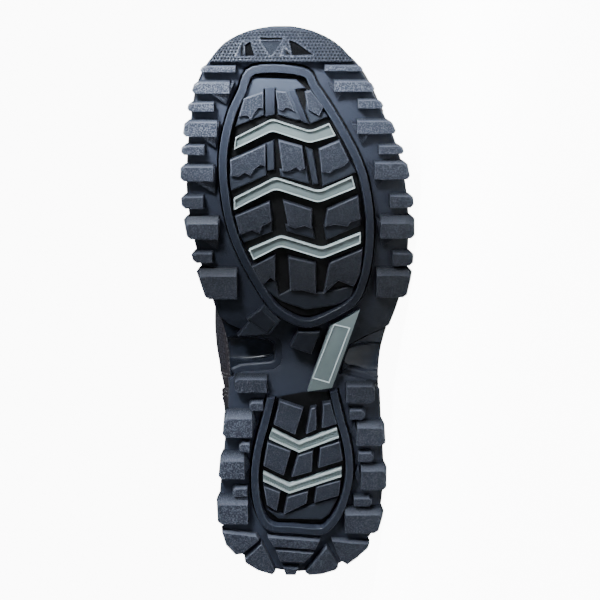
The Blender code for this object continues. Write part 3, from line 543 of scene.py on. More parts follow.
def makePaintedSoleLight():
    # Painted light along the sole: brightest at the toe, some at the heel, dim under the ball and the waist,
    # and lighter towards the side that lies uppermost
    group, entry, leave = newGroup("paintedSoleLight", {}, ("Share",))
    place = splitPlace(entry["Vector"])
    ramp = greyRamp(scaled(place[0], 1 / soleLength, 0.5), [
        (0.0, 0.68), (0.3, 0.66), (0.42, 0.26), (0.58, 0.19), (0.70, 0.36), (0.84, 0.85), (0.93, 1.0),
        (0.955, 0.84)])
    # painted light: the side of the sole lying uppermost, towards the lamps, is lit brighter
    inward = maths("MINIMUM", scaled(place[2], 5.5, 0.55), 1.05)
    plug(leave["Share"], multiply(ramp, inward))
    return group


grainGroup = makeGrain()
scuffGroup = makeScuffs()
weaveGroup = makeWeave()
paintedSoleLightGroup = makePaintedSoleLight()


def makeTreadRubber(name, look):
    # Painted light and shade: lit tops and darker floors mixed by height, near black painted shade where the
    # height is below 0, all scaled by the painted light along the sole; the stippled kind has grain and pale
    # specks
    finish, shader, vector = startMaterial(name, 0.5, specular=look["specular"], coatRoughness=0.26)
    grain = placeGroup(grainGroup, vector, Scale=look["grain"], Cloud_Scale=45.0, Cloud_Share=0.2)
    scuffs = placeGroup(scuffGroup, vector, Scale=140.0, Amount=look["scuffs"])
    paintedLight = placeGroup(paintedSoleLightGroup, vector)["Share"]
    relief = readMark(vector, "relief")
    # painted shade: darker down the sides towards the floor, near black in the trenches and the deep pits
    depth = maths("POWER", maths("MAXIMUM", relief, 0.0), 1.5)
    sunk = maths("MINIMUM", multiply(maths("MINIMUM", relief, 0.0), -4.0), 1.0)
    contrast = clamped(scaled(grain["Fine"], 9.0, -4.4))
    # the pale specks show most where the painted light along the sole is bright
    speckLight = maths("MAXIMUM", clamped(scaled(paintedLight, 1.5, -0.25)), 0.42)
    specks = multiply(contrast, multiply(speckLight, look["stipple"]))
    top = mix(specks, mix(grain["Cloud"], look["topDark"], look["top"]), look["speck"])
    top = mix(scuffs["Mask"], top, look["dust"])
    colour = mix(depth, look["floor"], top)
    # rubbed borders painted pale, as wear and as painted highlights on the edges
    colour = mix(multiply(readMark(vector, "edge"), look["rubbedHighlight"]), colour, look["edge"])
    colour = mix(sunk, colour, look["trench"])
    rough = scaled(relief, look["roughTop"] - look["roughFloor"], look["roughFloor"] - 0.08)
    # coat only on the tops; coat and colour are both scaled by the painted light along the sole
    plug(shader["Coat Weight"], multiply(depth, multiply(paintedLight, look["coat"])))
    dress(shader, mix(1.0, colour, paintedLight, "MULTIPLY"), scaled(grain["Fine"], 0.16, rough),
          grain["Height"], look["bump"], 0.0009)
    return finish


def makeGlossRubber():
    finish, shader, vector = startMaterial("glossRubber", 0.22, specular=0.28, coat=0.1, coatRoughness=0.12)
    grain = placeGroup(grainGroup, vector, Scale=500.0, Cloud_Scale=30.0, Cloud_Share=0.5)
    dress(shader, mix(grain["Cloud"], (0.004, 0.005, 0.008), (0.012, 0.015, 0.022)),
          scaled(grain["Cloud"], 0.18, 0.16), grain["Height"], 0.10, 0.0004)
    return finish


def makeInsert():
    # Grey-green rubber, paler on its raised rims; the low parts are darkened by the painted light along the
    # sole
    finish, shader, vector = startMaterial("insertRubber", 0.42)
    grain = placeGroup(grainGroup, vector, Scale=900.0, Cloud_Scale=70.0, Cloud_Share=0.3)
    # painted light along the sole, on the low parts
    paintedLight = scaled(placeGroup(paintedSoleLightGroup, vector)["Share"], 0.75, 0.42)
    low = mix(1.0, mix(grain["Cloud"], (0.10, 0.13, 0.13), (0.15, 0.185, 0.185)), paintedLight, "MULTIPLY")
    high = mix(grain["Cloud"], (0.26, 0.30, 0.30), (0.36, 0.41, 0.41))
    dress(shader, mix(readMark(vector, "raised"), low, high), scaled(grain["Fine"], 0.15, 0.34),
          grain["Height"], 0.2, 0.0003)
    return finish


# trench is the near black painted shade, edge the pale of rubbed borders with painted highlights
treadRubber = makeTreadRubber("treadRubber", {
    "top": (0.056, 0.065, 0.094), "topDark": (0.030, 0.036, 0.053), "floor": (0.020, 0.025, 0.036),
    "trench": (0.0015, 0.002, 0.003), "edge": (0.20, 0.22, 0.28), "rubbedHighlight": 0.55,
    "speck": (0.25, 0.275, 0.34), "dust": (0.22, 0.24, 0.29), "stipple": 0.55, "scuffs": 0.3, "grain": 1500.0,
    "roughTop": 0.42, "roughFloor": 0.6, "coat": 0.5, "specular": 0.12, "bump": 1.0})
smoothRubber = makeTreadRubber("smoothRubber", {
    "top": (0.030, 0.037, 0.056), "topDark": (0.020, 0.025, 0.038), "floor": (0.042, 0.050, 0.074),
    "trench": (0.0015, 0.002, 0.003), "edge": (0.10, 0.12, 0.16), "rubbedHighlight": 0.5,
    "speck": (0.09, 0.10, 0.13), "dust": (0.16, 0.18, 0.22), "stipple": 0.12, "scuffs": 0.25, "grain": 1300.0,
    "roughTop": 0.34, "roughFloor": 0.44, "coat": 0.5, "specular": 0.16, "bump": 0.25})
glossRubber = makeGlossRubber()
insertRubber = makeInsert()
print("materials of the sole ready")


# Raised rings round the forefoot and the heel
ringShape = {"width": 4.0 * mm, "round": 0.5 * mm, "level": 0.8 * mm, "foot": 6.9 * mm, "flare": 0.2 * mm,
             "trenchWidth": 6.4 * mm, "trench": 1.6 * mm}
forefootRing = [
    (23.3, 280.5), (29.5, 269.5), (35, 257), (38.7, 240), (38.8, 222), (35.5, 201), (28, 181),
    (15.5, 159.5), (7, 152), (-2, 148.3), (-11, 150), (-27, 159.5), (-32.8, 171), (-35.6, 187),
    (-35.6, 207), (-30.5, 231), (-19, 254), (-7.5, 272), (-1, 279.8),
]
heelRing = [
    (15.6, 106.5), (19, 92), (23, 76), (24.8, 60), (24, 46), (20.8, 34.5), (15.5, 29), (5, 28.2),
    (-10.5, 27), (-16, 29.8), (-21.5, 38), (-25.6, 51), (-27.2, 65), (-25.5, 80), (-21.3, 96), (-18, 110),
]


def ringProfile():
    half, soft = ringShape["width"] / 2, ringShape["round"]
    low, high = ringShape["level"], ringShape["foot"]
    turns = [step * math.pi / 8 for step in range(5)]
    arc = [(half - soft + soft * math.sin(turn), low + soft - soft * math.cos(turn)) for turn in turns]
    side = arc + [(half + ringShape["flare"], high)]
    return [(-x, y) for x, y in reversed(side)] + side


def trenchProfile():
    half, top = ringShape["trenchWidth"] / 2, lugDepth - 2 * mm
    bottom = lugDepth + ringShape["trench"]
    return [(-half, top), (-half, bottom), (half, bottom), (half, top)]


def sweepRing(name, points, closed, outline):
    # A profile curve drawn along a path, then made a mesh
    deselectAll()
    made = []
    path = [tuple(point) for point in spline(metres(points), 5, closed)]
    for label, places, loop in (("profile", outline, True), (name, path, closed)):
        bpy.ops.curve.primitive_nurbs_path_add()
        drawn = bpy.context.object
        drawn.name = label
        data = drawn.data
        data.splines.clear()
        line = data.splines.new("POLY")
        line.points.add(len(places) - 1)
        for point, place in zip(line.points, places):
            point.co = (place[0], place[1], 0, 1)
        line.use_cyclic_u = loop
        data.dimensions = "2D" if label == "profile" else "3D"
        made.append(drawn)
    profile, ring = made
    ring.data.twist_mode = "Z_UP"
    ring.data.bevel_mode = "OBJECT"
    ring.data.bevel_object = profile
    ring.data.use_fill_caps = not closed
    pickOnly(ring)
    bpy.ops.object.convert(target="MESH")
    bpy.data.objects.remove(profile)
    editWhole(ring, remove_doubles={"threshold": 0.02 * mm})
    return ring


# Sole plate between the lugs, with its two openings at the waist
solePlate = {
    "stations": [0.15, 0.8, 2.2, 5, 9, *range(13, 283, 3), 283.2, 284.4, 287, 290, 293, 295.5, 297.5,
                 298.8, 299.6],
    "bevel": 1.3 * mm, "heelReach": 1.7 * mm, "toeStart": 284, "toeInset": 0.9 * mm, "narrowest": 1.2 * mm,
    "inner": [(75, 155), (42, 150.5), (37.9, 146.6), (31.2, 143.3), (20.2, 141.5), (15.1, 140.2),
              (11.3, 137.6), (9.8, 134.3), (9.6, 126), (10.8, 122.7), (14.2, 120.4), (22.7, 119.7),
              (31.2, 119), (35.4, 117.2), (37.8, 114.8), (75, 112)],
    "outer": [(-75, 152), (-47, 145.5), (-35, 139.5), (-26.3, 134.3), (-20.8, 118.4), (-29, 116.6),
              (-37, 114.2), (-40.2, 112), (-47, 105), (-75, 102)],
    # lips in the openings: first and last corner, width, depths of its top and its foot
    "lips": [("inner", 3, 13, 3.6, 6.0, 10.0), ("outer", 4, 7, 3.4, 6.2, 10.0)],
}


def buildSolePlate():
    layers = []
    for station in solePlate["stations"]:
        y = station * mm
        middle, half = soleEdge(y)
        inset = solePlate["toeInset"] if station > solePlate["toeStart"] else 0
        half = max(half - inset, solePlate["narrowest"])
        bevel = min(solePlate["bevel"], 0.4 * half)
        low, high = treadFloor(y), plateTop(y)
        side = [(0, low), (half * 0.5, low), (half - bevel, low), (half - 0.4 * bevel, low + 0.25 * bevel),
                (half, low + bevel), (half + 0.3 * bevel, (low + high) / 2),
                (half + 0.3 * bevel, high - 0.5 * bevel), (half - 0.2 * bevel, high), (half * 0.5, high),
                (0, high)]
        y -= solePlate["heelReach"] * heelReachShare(y)
        ring = [(middle + x, y, z) for x, z in side]
        ring += [(middle - x, y, z) for x, z in reversed(side[1:-1])]
        layers.append(ring)
    plate = stackLayers("solePlate", layers)
    for points in (solePlate["inner"], solePlate["outer"]):
        flat = metres(points)
        cutAway(plate, stackLayers("opening", [flatLayer(flat, -lugDepth), flatLayer(flat, 4 * lugDepth)]))
    roundEdges(plate, 0.5 * mm, 2, 50)
    for path, closed in ((forefootRing, True), (heelRing, False)):
        trench = sweepRing("trench", path, closed, trenchProfile())
        bendToSole(trench)
        outwardFaces(trench)
        cutAway(plate, trench)
    levels = []
    for vertex in plate.data.vertices:
        x, y, z = vertex.co / mm
        # painted shade: dark inside the rings and down in their trenches
        inside = max(insideDistance(path, x, y) for path in (forefootRing, heelRing))
        deep = z * mm > treadFloor(vertex.co.y) + 0.4 * mm
        below = z * mm < plateTop(vertex.co.y) - mm
        levels.append(-1.0 if below and (inside > 2 or deep and inside > -4) else 0.0)
    markRelief(plate, levels)
    finishSole(plate, smoothRubber)


buildSolePlate()


def buildLips():
    # Rounded lips along the inside of the two openings at the waist
    things = []
    for name, first, last, width, top, foot in solePlate["lips"]:
        path = metres(solePlate[name])
        inward = 1 if name == "inner" else -1
        layers = []
        for depth, reach in ((top, width), (foot, width + 1.6)):
            edges = [offsetPath(path, inward * shift * mm, False)[first:last + 1] for shift in (-0.4, reach)]
            layers.append(flatLayer(edges[0] + edges[1][::-1], depth * mm))
        things.append(stackLayers("lip", layers))
    lips = joinAs("waistLips", things)
    bendToSole(lips)
    roundEdges(lips, 0.9 * mm, 3, 35)
    markRelief(lips, [0.0] * len(lips.data.vertices))
    finishSole(lips, smoothRubber, 35, True)


buildLips()
print("sole plate ready")


# Side lugs in millimetres: side, front, back, inner end, outer end (None is out to the rim),
# width of the sloped band on the front
sideLugs = [
    (1, 282.7, 279.7, 32.5, None, 0.5), (1, 275, 269, 35.5, None, 0.8), (1, 264.5, 260, 43.5, None, 0.6),
    (1, 255, 247, 42, None, 1.0), (1, 242.5, 237.5, 48.5, None, 0.7), (1, 232, 224, 44, None, 1.0),
    (1, 216.5, 210, 49.5, None, 0.8), (1, 205.5, 194, 42, None, 3.6), (1, 187, 181.5, 45.5, None, 0.8),
    (1, 178, 162, 33, None, 3.8), (-1, 283.2, 280.2, 12.5, None, 0.5), (-1, 275.5, 270, 17.5, None, 0.8),
    (-1, 266, 261.5, 29.5, None, 0.6), (-1, 255.5, 248.5, 29, None, 0.9), (-1, 242.5, 238, 40, None, 0.6),
    (-1, 234, 225, 38, None, 1.1), (-1, 217, 210.5, 46, None, 0.8), (-1, 206, 194.5, 41.5, None, 3.8),
    (-1, 187, 180, 48, None, 0.8), (-1, 178, 163, 40, None, 3.4), (1, 118, 110, 17.8, 34.8, 0.8),
    (1, 104.5, 99.5, 20, 27, 0.6), (1, 99, 84, 26, None, 4.6), (1, 80.5, 75.4, 27.5, 33, 0.6),
    (1, 74, 59.4, 30.5, None, 4.6), (1, 54, 48.9, 29, 37, 0.6), (1, 48, 32, 29, None, 4.6),
    (-1, 114, 104, 25, 40, 0.8), (-1, 100, 94.5, 27, 35, 0.6), (-1, 92.7, 79.3, 31, None, 3.4),
    (-1, 75, 69.6, 32, 40, 0.6), (-1, 67.3, 52.8, 33.5, None, 3.4), (-1, 48, 43, 30, 39.5, 0.6),
    (-1, 40.8, 26.4, 25, None, 3.4),
]
# Webs from the long lugs down to the rings: corner at the front, at the back, tip on the floor
lugWebs = [
    [(33, 274.8), (44.8, 269), (37.5, 263.2)], [(40.6, 254.8), (49.7, 247), (42.9, 240.4)],
    [(43, 231.8), (53.5, 224), (43.5, 216.8)], [(41, 205), (51, 194), (42.5, 188)],
    [(-13.8, 275.3), (-21.9, 270), (-18.7, 265.6)], [(-25.2, 255.3), (-35, 248.5), (-31.4, 242)],
    [(-34.4, 233.8), (-43, 225), (-38.9, 220.4)], [(-39, 205.6), (-49, 194.5), (-42.5, 189.5)],
    [(25.5, 98.6), (27, 84.4), (23.4, 90)], [(29.6, 73.6), (31, 60), (27.4, 66)],
    [(-29.6, 92.4), (-32, 80), (-27, 86)], [(-32, 66.8), (-34, 53.4), (-29.6, 60)],
]
lugShape = {"overhang": 3.0, "heelOverhang": 1.8, "heelFront": 125, "draft": 0.7, "bandDepth": 2.2,
            "corner": 1.6, "edge": 0.5 * mm, "webTop": 0.5, "webTip": 3.6, "foot": 6.4, "rimFoot": 10.2,
            "heelReach": 2.4 * mm}
# Lugs at the back of the heel
backLugs = [
    [(43.5, 27), (24.5, 24.5), (23, 22), (32.5, 13), (36, 12.5), (41.5, 19.5)],
    [(21.5, 19.5), (30.5, 10), (30.5, 8), (24, 4), (15.5, 1.2), (14, 3)],
    [(18, 24), (-11, 21.5), (-8.5, 15.8), (14.5, 17.7)],
    [(13.5, 15.3), (-7.5, 13.3), (-2.5, 8), (11, 8.5)],
    [(9.5, 5), (1, 5), (2.5, 0.8), (8, 0.8)],
    [(-15, 17), (-21.5, 6), (-20, 4), (-12, 1.5), (-5, 0.9), (-3, 2.5)],
    [(-18, 21.5), (-38.5, 19.5), (-37.5, 16.5), (-32, 10.8), (-26.5, 7), (-23, 9)],
]


def lugLayers(lug):
    side, front, back, inner, outer, band = lug
    overhang = lugShape["heelOverhang"] if front < lugShape["heelFront"] else lugShape["overhang"]
    corner = lugShape["corner"]
    layers = []
    steps = ((0, 0.0, 1.0, overhang - 1.4), (0.25, 0.05, 0.89, overhang - 0.35),
             (lugShape["bandDepth"], 0.3, 0.0, overhang), (4.0, 0.6, 0.0, overhang * 0.9),
             (lugShape["rimFoot" if outer is None else "foot"], 1.0, 0.0, overhang * 0.4))
    for depth, draft, bandShare, reach in steps:
        spread = lugShape["draft"] * draft
        head = front + spread - band * bandShare
        foot = back - spread

        def outerX(y):
            if outer is not None:
                return side * (outer + spread)
            middle, half = soleEdge(y * mm)
            return (middle + side * (half + reach * mm)) / mm

        start = side * (inner - spread)
        points = [(start, head), (start, foot)]
        cut = min(corner, 0.3 * (head - foot))
        points += [(outerX(foot) - side * cut, foot), (outerX(foot + cut), foot + cut),
                   (outerX(head - cut), head - cut), (outerX(head) - side * cut, head)]
        layers.append([(x * mm, y * mm, depth * mm) for x, y in points])
    return layers


def blockLayers(points, level, band=0.9, foot=lugShape["foot"]):
    # A block of the tread, its outline in millimetres, narrower at its top
    outline = metres(counterClockwise(points))
    top = offsetPath(outline, 0.35 * mm)
    base = offsetPath(outline, -0.55 * mm)
    return [flatLayer(top, level * mm), flatLayer(outline, (level + band * 0.5) * mm),
            flatLayer(base, foot * mm)]


def onHeelRim(point):
    x, y = point
    middle, half = soleEdge(max(y, 0.3) * mm)
    return y < 26 and abs(abs(x - middle / mm) - half / mm) < 3.4


def toothed(points, pitch=1.15, height=0.5):
    # Small teeth along the sides of a lug that lie on the heel's rim
    made = []
    for start, end in zip(points, points[1:] + points[:1]):
        made.append(start)
        if onHeelRim(start) and onHeelRim(end):
            a, b = Vector(start), Vector(end)
            count = round((b - a).length / pitch) * 2
            out = Vector((b.y - a.y, a.x - b.x)).normalized()
            out = out if out.dot((a + b) / 2 - Vector((0, 25))) > 0 else -out
            made += [tuple(a.lerp(b, step / count) + out * height * (step % 2)) for step in range(1, count)]
    return made


def buildLugs():
    things = [stackLayers("lug", lugLayers(lug)) for lug in sideLugs]
    things += [stackLayers("lug", blockLayers(toothed(points), 0, 0.5, 7.0)) for points in backLugs]
    for points in lugWebs:
        depths = (lugShape["webTop"], lugShape["webTop"], lugShape["webTip"])
        top = [(x * mm, y * mm, depth * mm) for (x, y), depth in zip(points, depths)]
        things.append(stackLayers("web", [top, flatLayer(top, lugShape["foot"] * mm)]))
    lugs = joinAs("soleLugs", things)
    bendToSole(lugs)
    for vertex in lugs.data.vertices:
        vertex.co.y -= lugShape["heelReach"] * heelReachShare(vertex.co.y)
    finishTread(lugs, treadRubber, (lugShape["edge"], 2, 28), 18, rubbedHighlight=[0])


buildLugs()
print("lugs ready")


def buildRings():
    rings = joinAs("treadRings", [sweepRing("forefootRing", forefootRing, True, ringProfile()),
                                  sweepRing("heelRing", heelRing, False, ringProfile())])
    bendToSole(rings)
    finishTread(rings, smoothRubber, None, 40, rubbedHighlight=[ringShape["level"]])


buildRings()
print("rings ready")


# Blocks inside the rings, outlines in millimetres of the page: outer side to the right
treadBlocks = [
    [(-28.3, 266.3), (-18.5, 269.6), (-18.5, 261.3), (-21.2, 261.5), (-22.6, 259.4), (-23.6, 257.8),
     (-24.7, 255.2), (-26.4, 257.4), (-29.4, 257.6), (-31, 256.6)],
    [(-12.3, 270.2), (-7, 269.6), (-2.5, 259.4), (-5, 261.2), (-7.2, 261.6), (-8.6, 260), (-11, 261)],
    [(2.5, 269.6), (5.6, 270.2), (12, 262.2), (9.6, 257.4), (8, 258.4), (4.2, 260.6)],
    [(-35.4, 234.6), (-17.5, 242.8), (-17.5, 231.4), (-20.2, 232), (-23, 230), (-25.4, 226.6),
     (-28, 228), (-31, 226.2), (-35.2, 226.4)],
    [(-10.8, 244.8), (1, 241.5), (2.6, 230.4), (0, 228.8), (-2, 230.8), (-5, 229), (-8.8, 228.6)],
    [(9.6, 240.2), (20, 244.8), (25, 234.2), (22.4, 231.6), (20, 230.4), (17, 229.6), (15.6, 227.8),
     (11, 228.4)],
    [(-33.3, 205.8), (-15.5, 213.4), (-14.6, 203.2), (-19.4, 200.6), (-20.8, 196.6), (-24.8, 198.4),
     (-31, 196)],
    [(-8.5, 213.8), (6, 209.2), (6, 199.2), (2.2, 200.8), (-2.4, 199.4), (-6, 200.8)],
    [(14, 209.3), (29.6, 216.3), (31, 204.2), (26, 202.6), (24.4, 200.4), (18, 201.4), (12.6, 200.2)],
    [(-25, 179.2), (-13, 185.3), (-13, 171.4), (-15.4, 173.2), (-20, 168.4)],
    [(-6, 184.4), (8, 181), (8.4, 164.4), (1, 166.4), (-5, 166.2)],
    [(15.5, 181.2), (32.4, 188.6), (31.4, 175.2), (28, 168.4), (20, 171.6), (12.4, 164.4)],
    [(-11, 104.6), (1.6, 100), (-2.8, 85), (-14.2, 91)],
    [(5.8, 100.3), (8.7, 101), (8.9, 88), (3.4, 85.4)],
    [(12.4, 103), (16.4, 103.6), (20, 91.4), (12, 88.8)],
    [(-17.6, 80.4), (-5, 75.4), (-9, 60.8), (-20, 66.6)],
    [(-1, 72.9), (7, 75.4), (6.4, 63.2), (-4.6, 59.8)],
    [(11, 77.4), (21.6, 81), (23.4, 69.8), (10, 65.3)],
    [(-20, 54.4), (-11, 50.8), (-13, 39.2), (-18.4, 43)],
    [(-7, 47.8), (4.4, 51.4), (3.5, 44), (-9, 37.2)],
    [(9, 54), (22.4, 58), (21.4, 48.6), (8, 44.2)],
]
# Lower steps of the rows, bars in the channels, facets and the loose blocks of the waist
treadSteps = [
    (3.1, [(-24, 276.6), (-2, 275.6), (2.5, 271.6), (-2.6, 271), (2, 256), (-1.6, 255), (-11, 258),
           (-12, 271.5), (-18.4, 271), (-18.3, 257.8), (-32.6, 252), (-28.6, 266.6)]),
    (2.6, [(-17.4, 272), (-12.8, 272), (-12.8, 258.2), (-17.4, 257)]),
    (2.6, [(-6, 270.6), (-2.6, 270.6), (4.4, 253.4), (0.8, 254.6)]),
    (3.1, [(3.6, 270.4), (14, 257), (5.4, 253.4), (3, 260)]),
    (3.3, [(-36, 227), (-17.6, 231.6), (-17.2, 226.6), (-35.4, 218.6)]),
    (3.3, [(-10.4, 229.6), (3, 231), (4.8, 222.2), (-9.6, 226)]),
    (3.3, [(11, 229), (25.4, 233.8), (28.6, 228.2), (11.6, 221)]),
    (2.8, [(-17, 243), (-13.4, 244.6), (-13, 229.6), (-16.4, 229)]),
    (3.0, [(3, 241), (6.4, 239.4), (9.4, 222.4), (6.6, 222)]),
    (3.3, [(-32, 197), (-14.8, 203.6), (-14.6, 197.4), (-29, 191.6)]),
    (3.3, [(-7.4, 201), (6.2, 200), (7.6, 193.6), (-6.6, 197.6)]),
    (3.3, [(12.4, 201), (31.4, 204.6), (31, 200.8), (13.6, 193)]),
    (3.4, [(-21, 168.8), (-13, 172), (-11, 163), (-4.6, 166.6), (1, 166.8), (8.6, 164.6), (12.2, 164.6),
           (28.4, 168.4), (27, 162), (20, 158), (3, 155.4), (-10, 160)]),
    (3.0, [(-18.2, 39.4), (-9.4, 36.2), (21.2, 47), (16, 36.4), (12, 33.4), (-12, 34)]),
    (1.0, [(-28, 150.5), (-20.5, 156.3), (-13, 148.8), (-17.5, 143)]),
    (1.0, [(-1, 143.5), (10.5, 143.5), (6, 131), (-5, 135)]),
    (1.4, [(-33, 141), (-18.6, 158.6), (-10.2, 150), (-16, 142)]),
]


def facing(points):
    # From the page, outer side to the right, to the boot's own side
    return [(-x, y) for x, y in points]


def buildBlocks():
    things = [stackLayers("block", blockLayers(facing(points), 1.3)) for points in treadBlocks]
    blocks = joinAs("treadBlocks", things)
    bendToSole(blocks)
    finishTread(blocks, treadRubber, (0.3 * mm, 2, 28), 35, highest=0.8, rubbedHighlight=[1.3 * mm])
    things = []
    for level, points in treadSteps:
        foot = lugShape["foot"] if level > 2 else 8.0
        things.append(stackLayers("step", blockLayers(facing(points), level, 0.5, foot)))
    steps = joinAs("treadSteps", things)
    bendToSole(steps)
    roundEdges(steps, 0.3 * mm, 2, 28)
    # painted shade: the steps darken away from the toe row
    markRelief(steps, [-0.13 * smoothStep((270 * mm - vertex.co.y) / (14 * mm))
                       for vertex in steps.data.vertices])
    markRubbedHighlights(steps, sorted({level * mm for level, _ in treadSteps}))
    finishSole(steps, smoothRubber, 35, True)


buildBlocks()
print("blocks ready")


# Grey-green inserts: half height, lean of both ends, middle line, and whether the ends are open
chevrons = {
    "forefoot_chevron_1": (3.1, 0.4, 1.6, [(33, 243.2), (14, 252.8), (-5, 246.5), (-16.4, 250.4)], False),
    "forefoot_chevron_2": (2.9, 0, 0.8, [(33.8, 212), (12.5, 222.7), (-9.5, 215.7), (-27.4, 223.2)], False),
    "forefoot_chevron_3": (2.7, -1.2, 0, [(25.3, 185.5), (10, 192.8), (-11.5, 186.2), (-31.3, 194.4)], False),
    "heel_chevron_1": (2.8, 0.7, 0.5, [(16, 85.4), (0.5, 77.5), (-20.6, 86.2)], True),
    "heel_chevron_2": (2.6, 0, 0, [(20.3, 60.2), (5.8, 52.7), (-22.8, 62.9)], True),
}
insertShape = {"level": 1.0, "rim": 0.65, "channel": 1.3, "foot": 6.2, "round": 0.15 * mm, "draft": 0.1,
               # depth under the rims' tops, start and end across the width of the heel's inserts
               "bars": [(0, 0, 1.0), (0.6, 1.35, 2.5), (0.6, 2.95, -1.4), (0, -1.1, 0), (1.3, 0.4, -0.4)]}


def roundedCorners(points, radius, count=3):
    # Replaces the blunt bends of a middle line by short curves
    made = [Vector(points[0])]
    for before, here, after in zip(points, points[1:], points[2:]):
        here = Vector(here)
        start = here + (Vector(before) - here).normalized() * radius
        end = here + (Vector(after) - here).normalized() * radius
        for step in range(count + 1):
            t = step / count
            made.append(start * (1 - t) ** 2 + here * 2 * t * (1 - t) + end * t ** 2)
    made.append(Vector(points[-1]))
    return made


def markRaised(thing, level, depth):
    limit = (level + 0.35 * depth) * mm
    markPoints(thing, "raised", [1.0 if vertex.co.z < limit else 0.0 for vertex in thing.data.vertices])


def buildChevron(name):
    half, innerLean, outerLean, line, openEnds = chevrons[name]
    middle = roundedCorners(line, 0.7 if openEnds else 2.2)
    leans = [-innerLean] + [0] * (len(middle) - 2) + [outerLean]
    front = [(point.x + lean, point.y + half) for point, lean in zip(middle, leans)]
    back = [(point.x - lean, point.y - half) for point, lean in zip(middle, leans)]
    level, rim, channel, foot = (insertShape[key] for key in ("level", "rim", "channel", "foot"))
    if openEnds:
        things = []
        for lower, start, end in insertShape["bars"]:
            edges = []
            for place, border in ((start, back if start < 0 else front), (end, front if end > 0 else back)):
                edges.append([(x, y - place) for x, y in border])
            points = counterClockwise(metres(edges[0] + edges[1][::-1]))
            things.append(stackLayers("rim", [flatLayer(points, (level + lower) * mm),
                                              flatLayer(points, foot * mm)]))
        insert = joinAs(name + "_piece", things)
    else:
        outline = counterClockwise(metres(front + back[::-1]))
        insert = stackLayers(name + "_piece", [
            flatLayer(offsetPath(outline, rim * mm), (level + channel) * mm),
            flatLayer(offsetPath(outline, (rim - 0.12) * mm), level * mm),
            flatLayer(offsetPath(outline, 0.05 * mm), level * mm),
            flatLayer(offsetPath(outline, -insertShape["draft"] * mm), foot * mm)])
    markRaised(insert, level, channel)
    bendToSole(insert)
    roundEdges(insert, insertShape["round"], 2, 30)
    finishPiece(insert, insertRubber, [name], 30, True)


for chevronName in chevrons:
    buildChevron(chevronName)


waistBar = {"outline": [(-31.5, 155.5), (-16, 146.5), (-4, 109.7), (-17.3, 111.8)],
            "frame": [(-25.8, 145.4), (-18.2, 147.2), (-7.2, 117.8), (-15.4, 115.4)],
            "level": 2.0, "line": 0.6, "raise": 0.5}


def buildBar():
    # A bare plate with one thin raised line on it
    outline = counterClockwise(metres(waistBar["outline"]))
    level, draft = waistBar["level"], insertShape["draft"] * mm
    plate = stackLayers("plate", [flatLayer(offsetPath(outline, draft), level * mm),
                                  flatLayer(outline, (level + 1) * mm),
                                  flatLayer(offsetPath(outline, -draft), insertShape["foot"] * mm)])
    inner = counterClockwise(metres(waistBar["frame"]))
    wide = offsetPath(inner, -waistBar["line"] * mm)
    things = [plate]
    for start, end, outerStart, outerEnd in zip(inner, inner[1:] + inner[:1], wide, wide[1:] + wide[:1]):
        points = counterClockwise([tuple(start), tuple(end), tuple(outerEnd), tuple(outerStart)])
        things.append(stackLayers("line", [flatLayer(points, (level - waistBar["raise"]) * mm),
                                           flatLayer(points, (level + 0.5) * mm)]))
    bar = joinAs("waist_bar_piece", things)
    markRaised(bar, level - waistBar["raise"], waistBar["raise"])
    bendToSole(bar)
    roundEdges(bar, 0.12 * mm, 2, 30)
    finishPiece(bar, insertRubber, ["waist_bar"])


buildBar()
print("inserts ready")


# Toe bumper: a rounded end with rows of small pits and sunk triangles
toeBumper = {
    "across": 210, "along": 84, "groove": 282.7, "pitchX": 1.75, "pitchY": 1.6, "edge": 3.0 * mm,
    "pitDepth": 0.5 * mm, "pitRadius": 0.58, "tipSteps": 60, "pitShade": 0.30 * mm, "deepest": 0.51 * mm,
    "pitted": 299.5 * mm,
    # corners, depth at the inner and at the outer side
    "triangles": [([(29, 292.4), (27.4, 291.4), (27.2, 285.4), (31.6, 285.4)], 0.1, 0.7),
                  ([(27.6, 290.6), (25, 292.2), (23, 285.7), (27.3, 285.4)], 1.5, 1.5),
                  ([(20.8, 294), (8.2, 294), (14.5, 285.6)], 0.85, 0.85),
                  ([(20.2, 294.2), (8.8, 294.2), (9.2, 293.3), (19.8, 293.3)], 1.3, 1.3),
                  ([(7.8, 289.8), (4.6, 286), (9.2, 286)], 0.15, 0.5),
                  ([(5.4, 293), (2, 291.8), (-6.4, 286.1), (3.8, 285.9)], 1.5, 1.5)],
}


def bumperTip(x):
    # Foremost place of the sole's edge at one distance from the middle line
    groove = toeBumper["groove"] * mm
    tip = groove
    for step in range(toeBumper["tipSteps"] + 1):
        y = groove + (soleLength - groove) * step / toeBumper["tipSteps"]
        middle, half = soleEdge(y)
        if abs(x - middle) <= half:
            tip = y
    return tip


def bumperPoint(x, tip, v):
    # v runs from the groove over the tip up to the top of the plate
    groove = toeBumper["groove"] * mm
    reach = max(tip - groove, 0.05 * mm)
    edge = min(toeBumper["edge"], 0.6 * reach)
    travel = v * (reach + plateTop(tip) - treadPlane(tip))
    if travel < reach - edge:
        y = groove + travel
        return Vector((x, y, treadPlane(y))), Vector((0, 0, -1)), travel
    start = treadPlane(groove + reach - edge)
    if travel < reach + edge:
        turn = (travel - reach + edge) / (2 * edge) * math.pi / 2
        y = groove + reach - edge + edge * math.sin(turn)
        z = start + (treadPlane(tip) + edge - start) * (1 - math.cos(turn))
        return Vector((x, y, z)), Vector((0, math.sin(turn), -math.cos(turn))), travel
    return Vector((x, tip, treadPlane(tip) + travel - reach)), Vector((0, 1, 0)), travel


